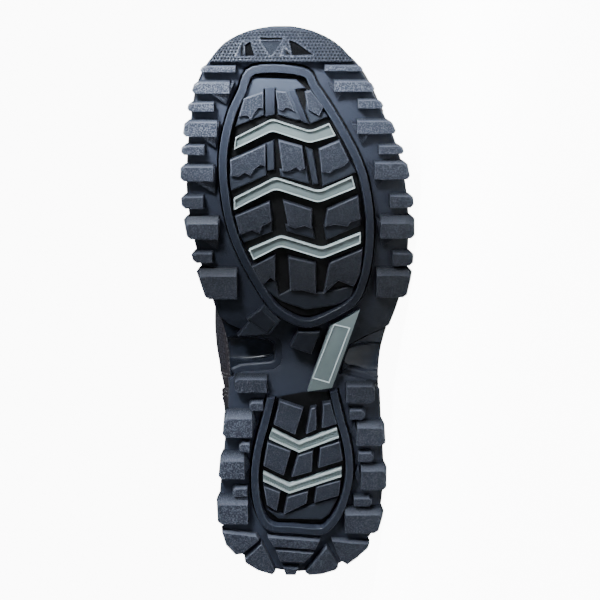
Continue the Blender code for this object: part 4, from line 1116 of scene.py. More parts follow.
def bumperSunk(x, y, travel):
    # Depth of the pits and triangles at one place, in metres
    pitchX, pitchY = toeBumper["pitchX"], toeBumper["pitchY"]
    row = round(travel / mm / pitchY)
    offX = x / mm / pitchX + 0.5 * (row % 2)
    offX = (offX - round(offX)) * pitchX
    offY = travel / mm - row * pitchY
    depth = math.exp(-(offX ** 2 + offY ** 2) / toeBumper["pitRadius"] ** 2) * toeBumper["pitDepth"]
    for corners, inner, outer in toeBumper["triangles"]:
        inside = insideDistance(corners, x / mm, y / mm)
        if inside > -1.6:
            depth *= smoothStep((-inside - 0.5) / 0.6)
        innermost, outermost = max(corners)[0], min(corners)[0]
        share = smoothStep((innermost - x / mm) / (innermost - outermost))
        sunk = (inner + (outer - inner) * share) * mm
        depth = max(depth, sunk * smoothStep((inside + 0.2) / 0.5))
    return depth


def buildBumper():
    across, along = toeBumper["across"], toeBumper["along"]
    groove = toeBumper["groove"] * mm
    middle, half = soleEdge(groove)
    bumper = addShape("grid", x_subdivisions=across, y_subdivisions=along + 2, size=2)
    bumper.name = bumper.data.name = "toeBumper"
    tips = {}
    relief = []
    for vertex in bumper.data.vertices:
        column = round((vertex.co.x + 1) / 2 * across)
        row = round((vertex.co.y + 1) / 2 * (along + 2))
        x = middle + half * math.cos(math.pi * column / across) * 0.999
        if column not in tips:
            tips[column] = bumperTip(x)
        if row > along:
            relief.append(0.0)
            low = treadPlane(groove) + bumperSunk(x, groove, 0.0)
            vertex.co = (x, groove, plateTop(groove) if row == along + 1 else low)
            continue
        point, normal, travel = bumperPoint(x, tips[column], row / along)
        depth = bumperSunk(x, point.y, travel) if point.y < toeBumper["pitted"] else 0.0
        # painted shade: pits darken with their depth and the deep triangles are near black
        pits = 1 - min(1.5, depth / toeBumper["pitShade"])
        triangles = 0.25 - 1.2 * smoothStep((depth / mm - 0.95) / 0.3)
        relief.append(pits if depth < toeBumper["deepest"] else triangles)
        vertex.co = point - normal * depth
    markRelief(bumper, relief)
    editWhole(bumper, remove_doubles={"threshold": 0.04 * mm}, fill_holes={"sides": 0})
    finishSole(bumper, treadRubber, 50)


buildBumper()
print("toe bumper ready")


def makeLeather(name, deep, high, roughness, grainScale, wear):
    # Worn smooth leather: pebbled grain, slow clouds, pale borders; woven nylon where cloth is over 0
    finish, shader, vector = startMaterial(name, roughness, specular=0.14, coatRoughness=0.35)
    grain = placeGroup(grainGroup, vector, Scale=grainScale, Cloud_Scale=38.0, Cloud_Share=0.35)
    scuffs = placeGroup(scuffGroup, vector, Scale=80.0, Amount=0.5)
    pebbles = addNode(vector.id_data, "ShaderNodeTexVoronoi", {"Vector": vector, "Scale": grainScale * 0.9},
                      feature="SMOOTH_F1").outputs["Distance"]
    colour = mix(scuffs["Mask"], mix(grain["Cloud"], deep, high), wear)
    colour = mix(multiply(readMark(vector, "border"), grain["Cloud"]), colour, wear)
    cloth = maths("GREATER_THAN", readMark(vector, "cloth"), 0.0)
    leather = maths("SUBTRACT", 1.0, cloth)
    weave = placeGroup(weaveGroup, ownMap(vector), Threads=520.0)["Height"]
    woven = mix(weave, (0.003, 0.003, 0.004), (0.024, 0.023, 0.031))
    skin = maths("ADD", multiply(grain["Height"], 0.5), multiply(pebbles, 0.6))
    plug(shader["Coat Weight"], multiply(leather, multiply(grain["Cloud"], 0.12)))
    rough = scaled(cloth, 0.25, scaled(grain["Cloud"], 0.28, roughness - 0.14))
    dress(shader, mix(cloth, colour, woven), rough,
          maths("ADD", multiply(leather, skin), multiply(cloth, weave)), 0.5, 0.0004)
    return finish


def makeWoven(name, threads, dark, pale, roughness, strength):
    # Woven cloth or braid that follows the piece's own map
    finish, shader, vector = startMaterial(name, roughness, specular=0.3, sheen=0.15)
    weave = placeGroup(weaveGroup, ownMap(vector), Threads=threads)
    grain = placeGroup(grainGroup, vector, Scale=2200.0, Cloud_Scale=50.0, Cloud_Share=0.3)
    lit = multiply(multiply(weave["Height"], grain["Fine"]), 1.3)
    dress(shader, mix(lit, dark, pale), scaled(weave["Thread"], 0.12, roughness - 0.06),
          maths("ADD", weave["Height"], multiply(grain["Fine"], 0.3)), strength, 0.0004)
    return finish


def makeSteel():
    # Black lacquer, bare in patches where its cloud noise is high
    finish, shader, vector = startMaterial("blackSteel", 0.3, coat=0.3, coatRoughness=0.1)
    grain = placeGroup(grainGroup, vector, Scale=1500.0, Cloud_Scale=220.0, Cloud_Share=0.5)
    worn = maths("GREATER_THAN", grain["Cloud"], 0.62)
    dress(shader, mix(worn, (0.012, 0.012, 0.014), (0.16, 0.16, 0.17)), scaled(grain["Fine"], 0.2, 0.22),
          grain["Height"], 0.15, 0.0001)
    return finish


def makeFibre(name, dark, pale):
    # Fuzzy felt or thread
    finish, shader, vector = startMaterial(name, 0.95, specular=0.1, sheen=0.3)
    grain = placeGroup(grainGroup, vector, Scale=2600.0, Cloud_Scale=90.0, Cloud_Share=0.4)
    dress(shader, mix(grain["Height"], dark, pale), scaled(grain["Fine"], 0.08, 0.9),
          grain["Fine"], 0.6, 0.0005)
    return finish


upperLeather = makeLeather("upperLeather", (0.006, 0.0048, 0.007), (0.015, 0.012, 0.017), 0.55, 700.0,
                           (0.026, 0.022, 0.03))
overlayLeather = makeLeather("overlayLeather", (0.006, 0.0052, 0.007), (0.015, 0.013, 0.017), 0.42, 950.0,
                             (0.065, 0.06, 0.066))
paddedNylon = makeWoven("paddedNylon", 1100.0, (0.008, 0.008, 0.010), (0.040, 0.038, 0.046), 0.65, 0.6)
braidedCord = makeWoven("braidedCord", 1300.0, (0.005, 0.005, 0.006), (0.035, 0.035, 0.038), 0.62, 0.9)
seamThread = makeFibre("seamThread", (0.02, 0.019, 0.022), (0.10, 0.095, 0.105))
greyFelt = makeFibre("greyFelt", (0.02, 0.02, 0.022), (0.09, 0.09, 0.095))
blackSteel = makeSteel()
print("materials of the upper ready")


# Upper: cross-sections from the toe over the instep to the collar, in millimetres
upperShape = {
    "sections": [
        (292, None, 291.8, 43, 0), (290.6, None, 291.2, 50, 16), (287, None, 289, 57.5, 26.5),
        (282, None, 284.5, 64.5, 34.5), (275, None, 277, 70, 41), (265, None, 267, 74.5, 46),
        (252, None, 254, 78.5, 50), (238, None, 239, 82, 53.5), (224, None, 224, 86, 55.5),
        (209, None, 208, 90.5, 55.5), (193, None, 194, 95, 54), (176, None, 180, 100, 51.5),
        (158, None, 166, 106, 49), (140, None, 152.5, 112.5, 47), (121, None, 141, 119.5, 45.5),
        (102, None, 132.5, 127, 44.5), (84, None, 126.5, 135, 43.5), (66, None, 122.5, 143, 43),
        (49, None, 120.3, 150.5, 42.5), (34, None, 119.3, 157, 42), (22, None, 119, 163, 41.5),
        (13.5, None, 119.2, 168, 41), (9, 31, 119.6, 172.5, 41), (5, 46, 120.2, 177, 41),
        (4, 62, 121, 181.5, 41), (6, 79, 121.8, 186, 41), (9.5, 95, 122.6, 190.5, 41.5),
        (11.5, 111, 123.4, 195, 42.5), (10.5, 128, 124.2, 199, 43.5), (8.5, 145, 125, 203, 44.5),
        (6.5, 163, 125.8, 207.5, 46), (5.5, 180, 126.6, 212, 47), (5, 196, 127.4, 216.5, 47.5),
    ],
    "throatRow": 9, "heelRow": 22, "toeCapRow": 6, "counterRows": (13, 29), "padRow": 27,
    "sideColumns": 8, "stayColumns": 2, "rowSteps": 6, "columnSteps": 4,
    "slit": [(0, 10), (3, 12), (12, 13), (23, 17)], "sideFullness": 2.5, "shaftFullness": 2.15,
    "stayWidth": 16 * mm, "wall": 2 * mm, "collarWall": 6 * mm, "featherLean": 0.3,
    "featherToe": 8 * mm, "featherHeel": 9 * mm, "featherWidth": 0.95, "heelPinch": 0.12,
    "counter": [(-15, 10), (104, 10), (99, 38), (88, 57), (70, 69), (48, 77), (28, 88), (10, 100),
                (-15, 106)],
    "gap": 0.3 * mm, "overlay": 1.4 * mm, "lift": 0.9 * mm, "ledge": 2.2 * mm,
}


rowSteps, columnSteps = upperShape["rowSteps"], upperShape["columnSteps"]


def topStation(y):
    ledge = upperShape["ledge"]
    span = soleLength - upperShape["featherToe"] - upperShape["featherHeel"] + 2 * ledge
    return upperShape["featherHeel"] - ledge + y * span / soleLength


def featherEdge(y, ledge=0.0):
    # Middle and half width of the last's edge; a ledge widens it all round
    span = soleLength - upperShape["featherToe"] - upperShape["featherHeel"] + 2 * ledge
    share = (y - upperShape["featherHeel"] + ledge) / span
    middle, half = soleEdge(min(max(share, 0.0), 1.0) * soleLength)
    pinch = 1 - smoothStep((y - 40 * mm) / (80 * mm))
    half = half * (upperShape["featherWidth"] - upperShape["heelPinch"] * pinch)
    return middle, half + ledge * smoothStep(half / (20 * mm))


def sectionLine(index):
    footY, footZ, topY, topZ, width = upperShape["sections"][index]
    footY *= mm
    footZ = footZ * mm if footZ is not None else midsoleTop(footY) + upperShape["gap"]
    share = smoothStep((index - upperShape["throatRow"])
                       / (upperShape["heelRow"] - upperShape["throatRow"]))
    fullness = upperShape["sideFullness"]
    fullness += (upperShape["shaftFullness"] - fullness) * share
    middle, half = featherEdge(footY)
    return (Vector((footY, footZ)), Vector((topY * mm, topZ * mm)), width * mm, fullness,
            middle * (1 - share), half)


def startAngle(index):
    _, _, width, fullness, _, half = sectionLine(index)
    if index >= upperShape["heelRow"]:
        return -math.pi / 2
    if width <= half or width == 0:
        return 0.0
    return -math.acos((half / width) ** (fullness / 2))


def sectionPoint(index, side, angle):
    foot, top, width, fullness, middle, _ = sectionLine(index)
    start = startAngle(index)

    def climb(value):
        return math.copysign(abs(math.sin(value)) ** (2 / fullness), value)

    angle = max(angle, start)
    share = (climb(angle) - climb(start)) / (1 - climb(start))
    x = width * max(0.0, math.cos(angle)) ** (2 / fullness)
    place = foot + (top - foot) * share
    return Vector((middle + side * x, place.x, place.y))


def angleAt(index, reach):
    _, _, width, fullness, _, _ = sectionLine(index)
    return 0.0 if width <= reach else math.acos((reach / width) ** (fullness / 2))


def slitReach(index):
    if index <= upperShape["throatRow"]:
        return 0.0
    return interpolate(upperShape["slit"], index - upperShape["throatRow"] - 1) * mm


def sectionAngles(index):
    _, _, width, _, _, _ = sectionLine(index)
    start, slit = startAngle(index), slitReach(index)
    stay = angleAt(index, min(slit + upperShape["stayWidth"], slit + 0.45 * (width - slit)))
    end = math.pi / 2 if slit == 0 else angleAt(index, slit)
    sides, stays = upperShape["sideColumns"], upperShape["stayColumns"]
    angles = [start + (stay - start) * step / sides for step in range(sides + 1)]
    return angles + [stay + (end - stay) * (step + 1) / stays for step in range(stays)]


def refineGrid(grid, down, over):
    rows = [spline(line, over) for line in grid]
    columns = [spline(line, down) for line in zip(*rows)]
    return [list(line) for line in zip(*columns)]


# Creases on the leather: points in millimetres (side, along, up), width, depth
creases = [
    ([(-46, 206, 52), (-34, 211, 72), (-14, 216, 86), (10, 217, 87), (33, 213, 74), (47, 208, 54)], 3.4, 1.5),
    ([(-48, 197, 56), (-36, 201, 76), (-18, 205, 89), (6, 206, 91), (30, 203, 82), (44, 198, 66)], 3.0, 1.2),
    ([(-42, 221, 60), (-28, 226, 77), (-8, 229, 84), (12, 228, 83), (28, 225, 76)], 2.8, 0.9),
    ([(50, 218, 44), (44, 214, 60), (36, 212, 72)], 3.0, 0.8),
    ([(-51, 214, 40), (-47, 209, 54), (-38, 206, 68)], 3.0, 0.9),
    ([(44, 120, 92), (46, 98, 96), (44, 74, 101), (36, 50, 106)], 4.0, 1.6),
    ([(44, 128, 102), (45, 108, 109), (43, 84, 114), (34, 56, 118)], 3.6, 1.3),
    ([(45, 112, 80), (46, 90, 84), (43, 68, 90)], 3.4, 0.9),
    ([(-44, 122, 92), (-46, 100, 96), (-44, 76, 100), (-36, 52, 104)], 4.0, 1.6),
    ([(-44, 130, 103), (-45, 110, 110), (-43, 86, 115), (-34, 58, 119)], 3.6, 1.3),
    ([(-45, 114, 79), (-46, 92, 83), (-43, 70, 88)], 3.4, 0.9),
    ([(20, 14, 122), (0, 10, 124), (-20, 14, 122)], 4.0, 1.2),
    ([(24, 18, 110), (0, 12, 111), (-24, 18, 110)], 3.6, 1.0),
    ([(38, 96, 150), (42, 76, 153), (40, 54, 158)], 5.0, 0.9),
    ([(-38, 98, 149), (-42, 78, 152), (-40, 56, 157)], 5.0, 0.9),
    ([(40, 176, 74), (45, 166, 60), (47, 158, 48)], 3.6, 0.9),
    ([(-40, 178, 74), (-45, 168, 60), (-47, 160, 48)], 3.6, 0.9),
]


creaseShape = {"near": 70, "fade": 9 * mm, "tip": 0.15, "ridge": 0.4, "ridgePlace": 1.9, "ridgeWidth": 0.8}
waistSwell = {"height": 5.5 * mm, "middle": 126, "spread": 34, "low": 28, "rise": 22, "high": 78, "fall": 34}


def creaseDepth(point):
    # Soft trough with a low ridge on both of its sides
    depth = 0.0
    for places, width, deep in creases:
        if (point / mm - Vector(places[len(places) // 2])).length > creaseShape["near"]:
            continue
        best, travel, total = None, 0.0, 0.0
        for start, end in zip(places, places[1:]):
            a, b = Vector(start) * mm, Vector(end) * mm
            span = b - a
            share = min(1.0, max(0.0, (point - a).dot(span) / span.length_squared))
            distance = (point - a - span * share).length
            if best is None or distance < best:
                best, travel = distance, total + share * span.length
            total += span.length
        if best > 4 * width * mm:
            continue
        ends = smoothStep(min(travel, total - travel) / creaseShape["fade"] + creaseShape["tip"])
        reach = best / (width * mm)
        aside = (reach - creaseShape["ridgePlace"]) / creaseShape["ridgeWidth"]
        depth += deep * mm * ends * (math.exp(-reach ** 2) - creaseShape["ridge"] * math.exp(-aside ** 2))
    return depth


def waistBulge(point):
    # The soft quarter stands out over the arch on the inner side
    along = math.exp(-((point.y / mm - waistSwell["middle"]) / waistSwell["spread"]) ** 2)
    height = point.z / mm
    upward = smoothStep((height - waistSwell["low"]) / waistSwell["rise"])
    upward *= 1 - smoothStep((height - waistSwell["high"]) / waistSwell["fall"])
    return waistSwell["height"] * along * upward if point.x > 0 else 0.0


def onSeam(i, j, columns):
    # Whether a point of the fine grid lies on a middle seam: toe end, instep or back of the heel
    throat, heel = (upperShape[row] * rowSteps for row in ("throatRow", "heelRow"))
    return i == 0 or (i <= throat and j == columns - 1) or (i >= heel and j == 0)


def meetAtSeams(halves, meet):
    # Both halves get the same point or normal there
    for i, line in enumerate(halves[1]):
        for j in range(len(line)):
            if onSeam(i, j, len(line)):
                middle = meet(halves[1][i][j] + halves[-1][i][j])
                halves[1][i][j], halves[-1][i][j] = middle.copy(), middle.copy()


def crossAt(grid, i, j):
    # Normal of a grid at one point, not of unit length
    down = grid[min(i + 1, len(grid) - 1)][j] - grid[max(i - 1, 0)][j]
    over = grid[i][min(j + 1, len(grid[0]) - 1)] - grid[i][max(j - 1, 0)]
    return over.cross(down)


def gridNormals(grid, side):
    normals = []
    rows, columns = len(grid), len(grid[0])
    heel = upperShape["heelRow"] * rowSteps
    for i in range(rows):
        line = []
        for j in range(columns):
            normal = crossAt(grid, i, j) * side
            if onSeam(i, j, columns):
                normal.x = 0
            if normal.length < 1e-12:
                normal = Vector((0, 1, 0))
            normal.normalize()
            if j == 0 and i <= heel:
                normal.z = upperShape["featherLean"] * normal.to_2d().length
            line.append(normal.normalized())
        normals.append(line)
    normals[0] = [Vector((0, 1, upperShape["featherLean"])).normalized() for _ in normals[0]]
    return normals


def makeForms():
    # Outer face of the upper for both sides, refined, creased and met at the middle seams
    forms = {}
    for side in (1, -1):
        coarse = [[sectionPoint(index, side, angle) for angle in sectionAngles(index)]
                  for index in range(len(upperShape["sections"]))]
        forms[side] = refineGrid(coarse, rowSteps, columnSteps)
    meetAtSeams(forms, lambda total: total / 2)
    for side in (1, -1):
        normals = gridNormals(forms[side], side)
        for i in range(len(normals)):
            for j in range(1, len(normals[0])):
                edge = smoothStep(j / 4)
                point = forms[side][i][j]
                moved = waistBulge(point) - creaseDepth(point)
                forms[side][i][j] = point + normals[i][j] * moved * edge
    meetAtSeams(forms, lambda total: total / 2)
    return forms


forms = makeForms()
formNormals = {side: gridNormals(forms[side], side) for side in (1, -1)}
meetAtSeams(formNormals, Vector.normalized)
print("forms of the upper ready")


def closedPanel(name, panels, flatMap=True):
    # Joins an outer and an inner sheet of each panel into one closed mesh with its own map
    vertices, faces, maps, halves = [], [], [], []
    for half, (outer, inner, turned) in enumerate(panels):
        rows, columns = len(outer), len(outer[0])
        base = len(vertices)
        for sheet in (outer, inner):
            along = 0.0
            for i, line in enumerate(sheet):
                across = 0.0
                if i:
                    along += (line[columns // 2] - sheet[i - 1][columns // 2]).length
                for j, point in enumerate(line):
                    if j:
                        across += (point - line[j - 1]).length
                    vertices.append(point)
                    maps.append((point.y, point.z) if flatMap else (across, along))
        count = rows * columns

        def at(layer, i, j):
            return base + layer * count + i * columns + j

        def add(corners):
            faces.append(corners if turned else corners[::-1])
            halves.append(half)

        for i in range(rows - 1):
            for j in range(columns - 1):
                add([at(0, i, j), at(0, i, j + 1), at(0, i + 1, j + 1), at(0, i + 1, j)])
                add([at(1, i, j), at(1, i + 1, j), at(1, i + 1, j + 1), at(1, i, j + 1)])
        for i in range(rows - 1):
            for j, flip in ((0, False), (columns - 1, True)):
                corners = [at(0, i, j), at(0, i + 1, j), at(1, i + 1, j), at(1, i, j)]
                add(corners[::-1] if flip else corners)
        for j in range(columns - 1):
            for i, flip in ((0, True), (rows - 1, False)):
                corners = [at(0, i, j), at(0, i, j + 1), at(1, i, j + 1), at(1, i, j)]
                add(corners if flip else corners[::-1])
    panel = meshObject(name, vertices, faces)
    panel.data.polygons.foreach_set("material_index", halves)
    layer = panel.data.uv_layers.new(name="UVMap")
    for loop in panel.data.loops:
        layer.data[loop.index].uv = maps[loop.vertex_index]
    editWhole(panel, remove_doubles={"threshold": 0.01 * mm}, delete_loose={})
    return panel


def dropInnerWalls(panel):
    # Walls that two halves share at a seam are removed, so that the panel is one shell
    cage = bmesh.new()
    cage.from_mesh(panel.data)
    shared = {vertex for vertex in cage.verts if len({face.material_index for face in vertex.link_faces}) > 1}
    walls = [face for face in cage.faces if all(vertex in shared for vertex in face.verts)]
    bmesh.ops.delete(cage, geom=walls, context="FACES")
    thin = [face for face in cage.faces if face.calc_area() < 1e-14]
    bmesh.ops.delete(cage, geom=thin, context="FACES")
    cage.to_mesh(panel.data)
    cage.free()


upperLook = {"nylon": [(18, 112), (30, 121), (60, 143), (100, 173), (106, 170), (108, 156), (115, 130),
                       (128, 108), (142, 90), (156, 72), (160, 52), (146, 36), (110, 36), (106, 54),
                       (94, 70), (75, 81), (52, 89), (30, 100)],
             "recess": 0.25 * mm, "seams": [27.2, 28.6, 30.0, 31.2, 33.2], "puff": 1.2 * mm,
             "rim": 3.0 * mm, "rimSteps": [0, 0.35, 0.6, 0.8, 0.93, 1], "droppedRows": 5}


def puffAt(row):
    # Height of the padding between its quilting seams
    for start, end in zip(upperLook["seams"], upperLook["seams"][1:]):
        if start <= row < end:
            return upperLook["puff"] * math.sin(math.pi * (row - start) / (end - start)) ** 0.5
    return 0.0


def shellSheets(side):
    # Outer and inner face of one half of the upper, with its rounded and padded collar
    last = len(forms[side]) - 1
    places = [(i, None) for i in range(last - upperLook["droppedRows"])]
    places += [(last, share) for share in upperLook["rimSteps"]]
    outer, inner = [], []
    for i, share in places:
        outerLine, innerLine = [], []
        for j in range(len(forms[side][0])):
            stay = 1 - smoothStep((j / columnSteps - upperShape["sideColumns"] + 1.5) / 1.2)
            padded = smoothStep((i / rowSteps - upperShape["padRow"]) / 2) * stay
            depth = upperShape["wall"] + (upperShape["collarWall"] - upperShape["wall"]) * padded
            normal = formNormals[side][i][j]
            point = forms[side][i][j] + normal * puffAt(i / rowSteps) * stay
            nylon = insideDistance(upperLook["nylon"], point.y / mm, point.z / mm)
            point = point - normal * upperLook["recess"] * smoothStep(nylon / 2)
            half = depth / 2
            if share is not None:
                down = (forms[side][i - 1][j] - forms[side][i][j]).normalized()
                point = point + down * upperLook["rim"] * (1 - share)
                half *= math.sqrt(1 - share ** 2)
            middle = point - normal * depth / 2
            outerLine.append(middle + normal * half)
            innerLine.append(middle - normal * half)
        outer.append(outerLine)
        inner.append(innerLine)
    return outer, inner


sewnOn = {}


def meshTree(thing):
    # Lets later pieces find the surface of this one
    cage = bmesh.new()
    cage.from_mesh(thing.data)
    tree = BVHTree.FromBMesh(cage)
    cage.free()
    return tree


def buildUpper():
    upper = closedPanel("bootUpper", [(*shellSheets(side), side > 0) for side in (1, -1)])
    dropInnerWalls(upper)
    outwardFaces(upper)
    sewnOn["upper"] = meshTree(upper)
    inside = [insideDistance(upperLook["nylon"], vertex.co.y / mm, vertex.co.z / mm)
              for vertex in upper.data.vertices]
    markPoints(upper, "cloth", [max(-6.0, min(6.0, value)) for value in inside])
    finishPiece(upper, upperLeather, ["upper"], 50)


def overlayPanel(name, rowRange, columnRange, sides):
    panels = []
    heel = (upperShape["heelRow"] - 1) * rowSteps
    for side in sides:
        sheets = []
        for lift in (upperShape["gap"] + upperShape["overlay"], upperShape["gap"]):
            sheet = []
            for i in rowRange:
                line = []
                for j in columnRange:
                    point = forms[side][i][j] + formNormals[side][i][j] * lift
                    if j < columnSteps and 0 < i < heel:
                        above = forms[side][i][columnSteps] - forms[side][i][0]
                        point += above.normalized() * upperShape["lift"] * (1 - j / columnSteps)
                    line.append(point)
                sheet.append(line)
            sheets.append(sheet)
        panels.append((*sheets, side > 0))
    panel = closedPanel(name, panels)
    if len(sides) > 1:
        dropInnerWalls(panel)
    outwardFaces(panel)
    return panel


def prismFromSide(points):
    # A block as wide as the boot with a given side view, in millimetres
    layers = [[(x, y * mm, z * mm) for y, z in points] for x in (-90 * mm, 90 * mm)]
    return stackLayers("prism", layers)


def markBorder(thing):
    # 1 along the sharp borders, where the leather is worn pale
    sharp = set()
    cage = bmesh.new()
    cage.from_mesh(thing.data)
    for edge in cage.edges:
        if len(edge.link_faces) == 2 and edge.calc_face_angle(0) > math.radians(40):
            sharp.update(vertex.index for vertex in edge.verts)
    cage.free()
    markPoints(thing, "border", [float(vertex.index in sharp) for vertex in thing.data.vertices])


def buildOverlays():
    columns = range(len(forms[1][0]))
    made = {}
    capRows = range(upperShape["toeCapRow"] * rowSteps + 1)
    made["toe_cap"] = overlayPanel("toeCapPanel", capRows, columns, (1, -1))
    first, last = upperShape["counterRows"]
    counter = overlayPanel("heelCounterPanel", range(first * rowSteps, last * rowSteps + 1),
                           range(upperShape["sideColumns"] * columnSteps + 1), (1, -1))
    cutAway(counter, prismFromSide(upperShape["counter"]), "INTERSECT")
    made["heel_counter"] = counter
    stayRows = range((upperShape["throatRow"] + 1) * rowSteps, len(forms[1]))
    stayColumns = range(upperShape["sideColumns"] * columnSteps, len(forms[1][0]))
    for node, side in (("eyestay_medial", 1), ("eyestay_lateral", -1)):
        made[node] = overlayPanel(node + "_panel", stayRows, stayColumns, (side,))
    for node, panel in made.items():
        sewnOn[node] = meshTree(panel)
        markBorder(panel)
        roundEdges(panel, 0.45 * mm, 2, 45)
        finishPiece(panel, overlayLeather, [node], 50)


def innerPoint(index, side, reach, depth):
    angle = angleAt(index, reach)
    step = 0.02
    here = sectionPoint(index, side, angle)
    up = sectionPoint(index, side, min(math.pi / 2, angle + step))
    down = sectionPoint(index, side, angle - step)
    last = len(upperShape["sections"]) - 1
    before = sectionPoint(max(0, index - 1), side, angle)
    behind = sectionPoint(min(last, index + 1), side, angle)
    normal = (up - down).cross(behind - before) * side
    if reach == 0:
        normal.x = 0
    return here - normal.normalized() * depth


tongueShape = {"start": 8, "columns": 6, "half": 30 * mm, "thickness": 5 * mm, "clearance": 1.5 * mm,
               "rise": 12 * mm, "puff": 0.9 * mm, "endRows": 3, "sideColumns": 2, "cell": 11.0,
               "fineRows": 5, "fineColumns": 6}


def buildTongue():
    depth = upperShape["wall"] + tongueShape["clearance"]
    last = len(upperShape["sections"]) - 1
    grid = []
    for index in range(tongueShape["start"], last + 1):
        line = []
        for step in range(-tongueShape["columns"] // 2, tongueShape["columns"] // 2 + 1):
            share = abs(step) / (tongueShape["columns"] / 2)
            line.append(innerPoint(index, 1 if step >= 0 else -1, tongueShape["half"] * share, depth))
        grid.append(line)
    grid.append([point + (point - before).normalized() * tongueShape["rise"]
                 for before, point in zip(grid[-2], grid[-1])])
    fine = refineGrid(grid, tongueShape["fineRows"], tongueShape["fineColumns"])
    rows, columns = len(fine), len(fine[0])
    outer, inner = [], []
    for i in range(rows):
        outerLine, innerLine = [], []
        for j in range(columns):
            normal = crossAt(fine, i, j).normalized()
            if normal.y + normal.z < 0:
                normal.negate()
            ends = min(i, rows - 1 - i) / tongueShape["endRows"]
            sides = min(j, columns - 1 - j) / tongueShape["sideColumns"]
            full = min(1.0, ends, sides)
            half = tongueShape["thickness"] / 2 * math.sqrt(max(0.02, 1 - (1 - full) ** 2))
            middle = fine[i][j] - normal * tongueShape["thickness"] / 2
            cell = abs(math.sin(math.pi * i / tongueShape["cell"]))
            quilt = tongueShape["puff"] * (cell ** 0.6 - 1) * full
            outerLine.append(middle + normal * (half + quilt))
            innerLine.append(middle - normal * half)
        outer.append(outerLine)
        inner.append(innerLine)
    tongue = closedPanel("tonguePad", [(outer, inner, True)], False)
    finishPiece(tongue, paddedNylon, ["tongue"], 60)


def stayPoint(row, side, reachFromSlit, lift):
    low = int(row)
    share = row - low
    points, normals = [], []
    for index in (low, min(low + 1, len(upperShape["sections"]) - 1)):
        reach = slitReach(index) + reachFromSlit
        surface = innerPoint(index, side, reach, 0.0)
        points.append(surface)
        normals.append(surface - innerPoint(index, side, reach, 1.0))
    normal = normals[0].lerp(normals[1], share).normalized()
    return points[0].lerp(points[1], share) + normal * lift, normal


eyelets = {"pairs": 7, "radius": 4.2 * mm, "rim": 1.2 * mm, "rows": (10.6, 31.4), "inset": 7.8 * mm,
           "hole": {"smaller": 0.7 * mm, "height": 1.2 * mm, "low": 0.8 * mm, "wall": 0.6 * mm,
                    "sunk": 0.7 * mm}}


def eyeletPlaces():
    rows = range(len(upperShape["sections"]))
    tops = [sectionLine(index)[1] for index in rows]
    travel = [0.0]
    for start, end in zip(tops, tops[1:]):
        travel.append(travel[-1] + (end - start).length)
    first, last = (interpolate(list(zip(rows, travel)), row) for row in eyelets["rows"])
    step = (last - first) / (eyelets["pairs"] - 1)
    return [interpolate(list(zip(travel, rows)), first + step * pair) for pair in range(eyelets["pairs"])]


def buildEyelets():
    lift = 2 * upperShape["gap"] + upperShape["overlay"] + eyelets["rim"]
    shape = eyelets["hole"]
    for pair, row in enumerate(eyeletPlaces(), start=1):
        for name, side in (("medial", 1), ("lateral", -1)):
            point, normal = stayPoint(row, side, eyelets["inset"], lift)
            turn = normal.to_track_quat("Z", "Y").to_matrix().to_4x4()
            ring = addShape("torus", major_segments=28, minor_segments=10, major_radius=eyelets["radius"],
                            minor_radius=eyelets["rim"])
            for vertex in ring.data.vertices:
                vertex.co.z = vertex.co.z * (0.75 if vertex.co.z > 0 else 1.0)
            hole = addShape("cylinder", vertices=28, radius=eyelets["radius"] - shape["smaller"],
                            depth=shape["height"])
            hole.data.transform(Matrix.Translation((0, 0, -shape["low"])))
            bpy.ops.object.mode_set(mode="EDIT")
            bpy.ops.mesh.select_all(action="DESELECT")
            cage = bmesh.from_edit_mesh(hole.data)
            for face in cage.faces:
                face.select_set(face.normal.z > 0.9)
            bmesh.update_edit_mesh(hole.data)
            bpy.ops.mesh.inset(thickness=shape["wall"])
            bpy.ops.mesh.extrude_region_move(TRANSFORM_OT_translate={"value": (0, 0, -shape["sunk"])})
            bpy.ops.object.mode_set(mode="OBJECT")
            eyelet = joinAs(f"eyelet_{name}_{pair}_ring", [ring, hole])
            eyelet.data.transform(Matrix.Translation(point) @ turn)
            finishPiece(eyelet, blackSteel, [f"eyelet_{name}_{pair}"], 40)


laceShape = {"radius": 1.6 * mm, "lift": 3.0 * mm, "rise": 1.0 * mm, "slant": 0.5,
             "end": 0.8 * mm, "bend": 1.4 * mm, "overRim": 4.6 * mm, "sag": 0.2 * mm}


def tubeFaces(base, rings, sides):
    # Faces between the rings of a closed tube, then its two ends
    last = base + (rings - 1) * sides
    faces = [(low + step, low + (step + 1) % sides, low + sides + (step + 1) % sides, low + sides + step)
             for low in range(base, last, sides) for step in range(sides)]
    return faces + [tuple(range(base, base + sides))[::-1], tuple(range(last, last + sides))]


def tubeAlong(name, points, radius, sides=12):
    # A round closed cord with its own map, along and round, in metres
    vertices, maps = [], []
    across, travel = None, 0.0
    count = len(points)
    for index, point in enumerate(points):
        ahead = (points[min(index + 1, count - 1)] - points[max(index - 1, 0)]).normalized()
        if across is None:
            across = ahead.orthogonal().normalized()
        across = (across - ahead * across.dot(ahead)).normalized()
        over = ahead.cross(across)
        if index:
            travel += (point - points[index - 1]).length
        for step in range(sides):
            turn = 2 * math.pi * step / sides
            vertices.append(point + (across * math.cos(turn) + over * math.sin(turn)) * radius)
        if index:
            before = travel - (point - points[index - 1]).length
            for step in range(sides):
                low, high = step * 2 * math.pi * radius / sides, (step + 1) * 2 * math.pi * radius / sides
                maps += [(before, low), (before, high), (travel, high), (travel, low)]
    maps += [(0, 0)] * (2 * sides)
    cord = meshObject(name, vertices, tubeFaces(0, count, sides))
    for loop, place in zip(cord.data.uv_layers.new(name="UVMap").data, maps):
        loop.uv = place
    return cord


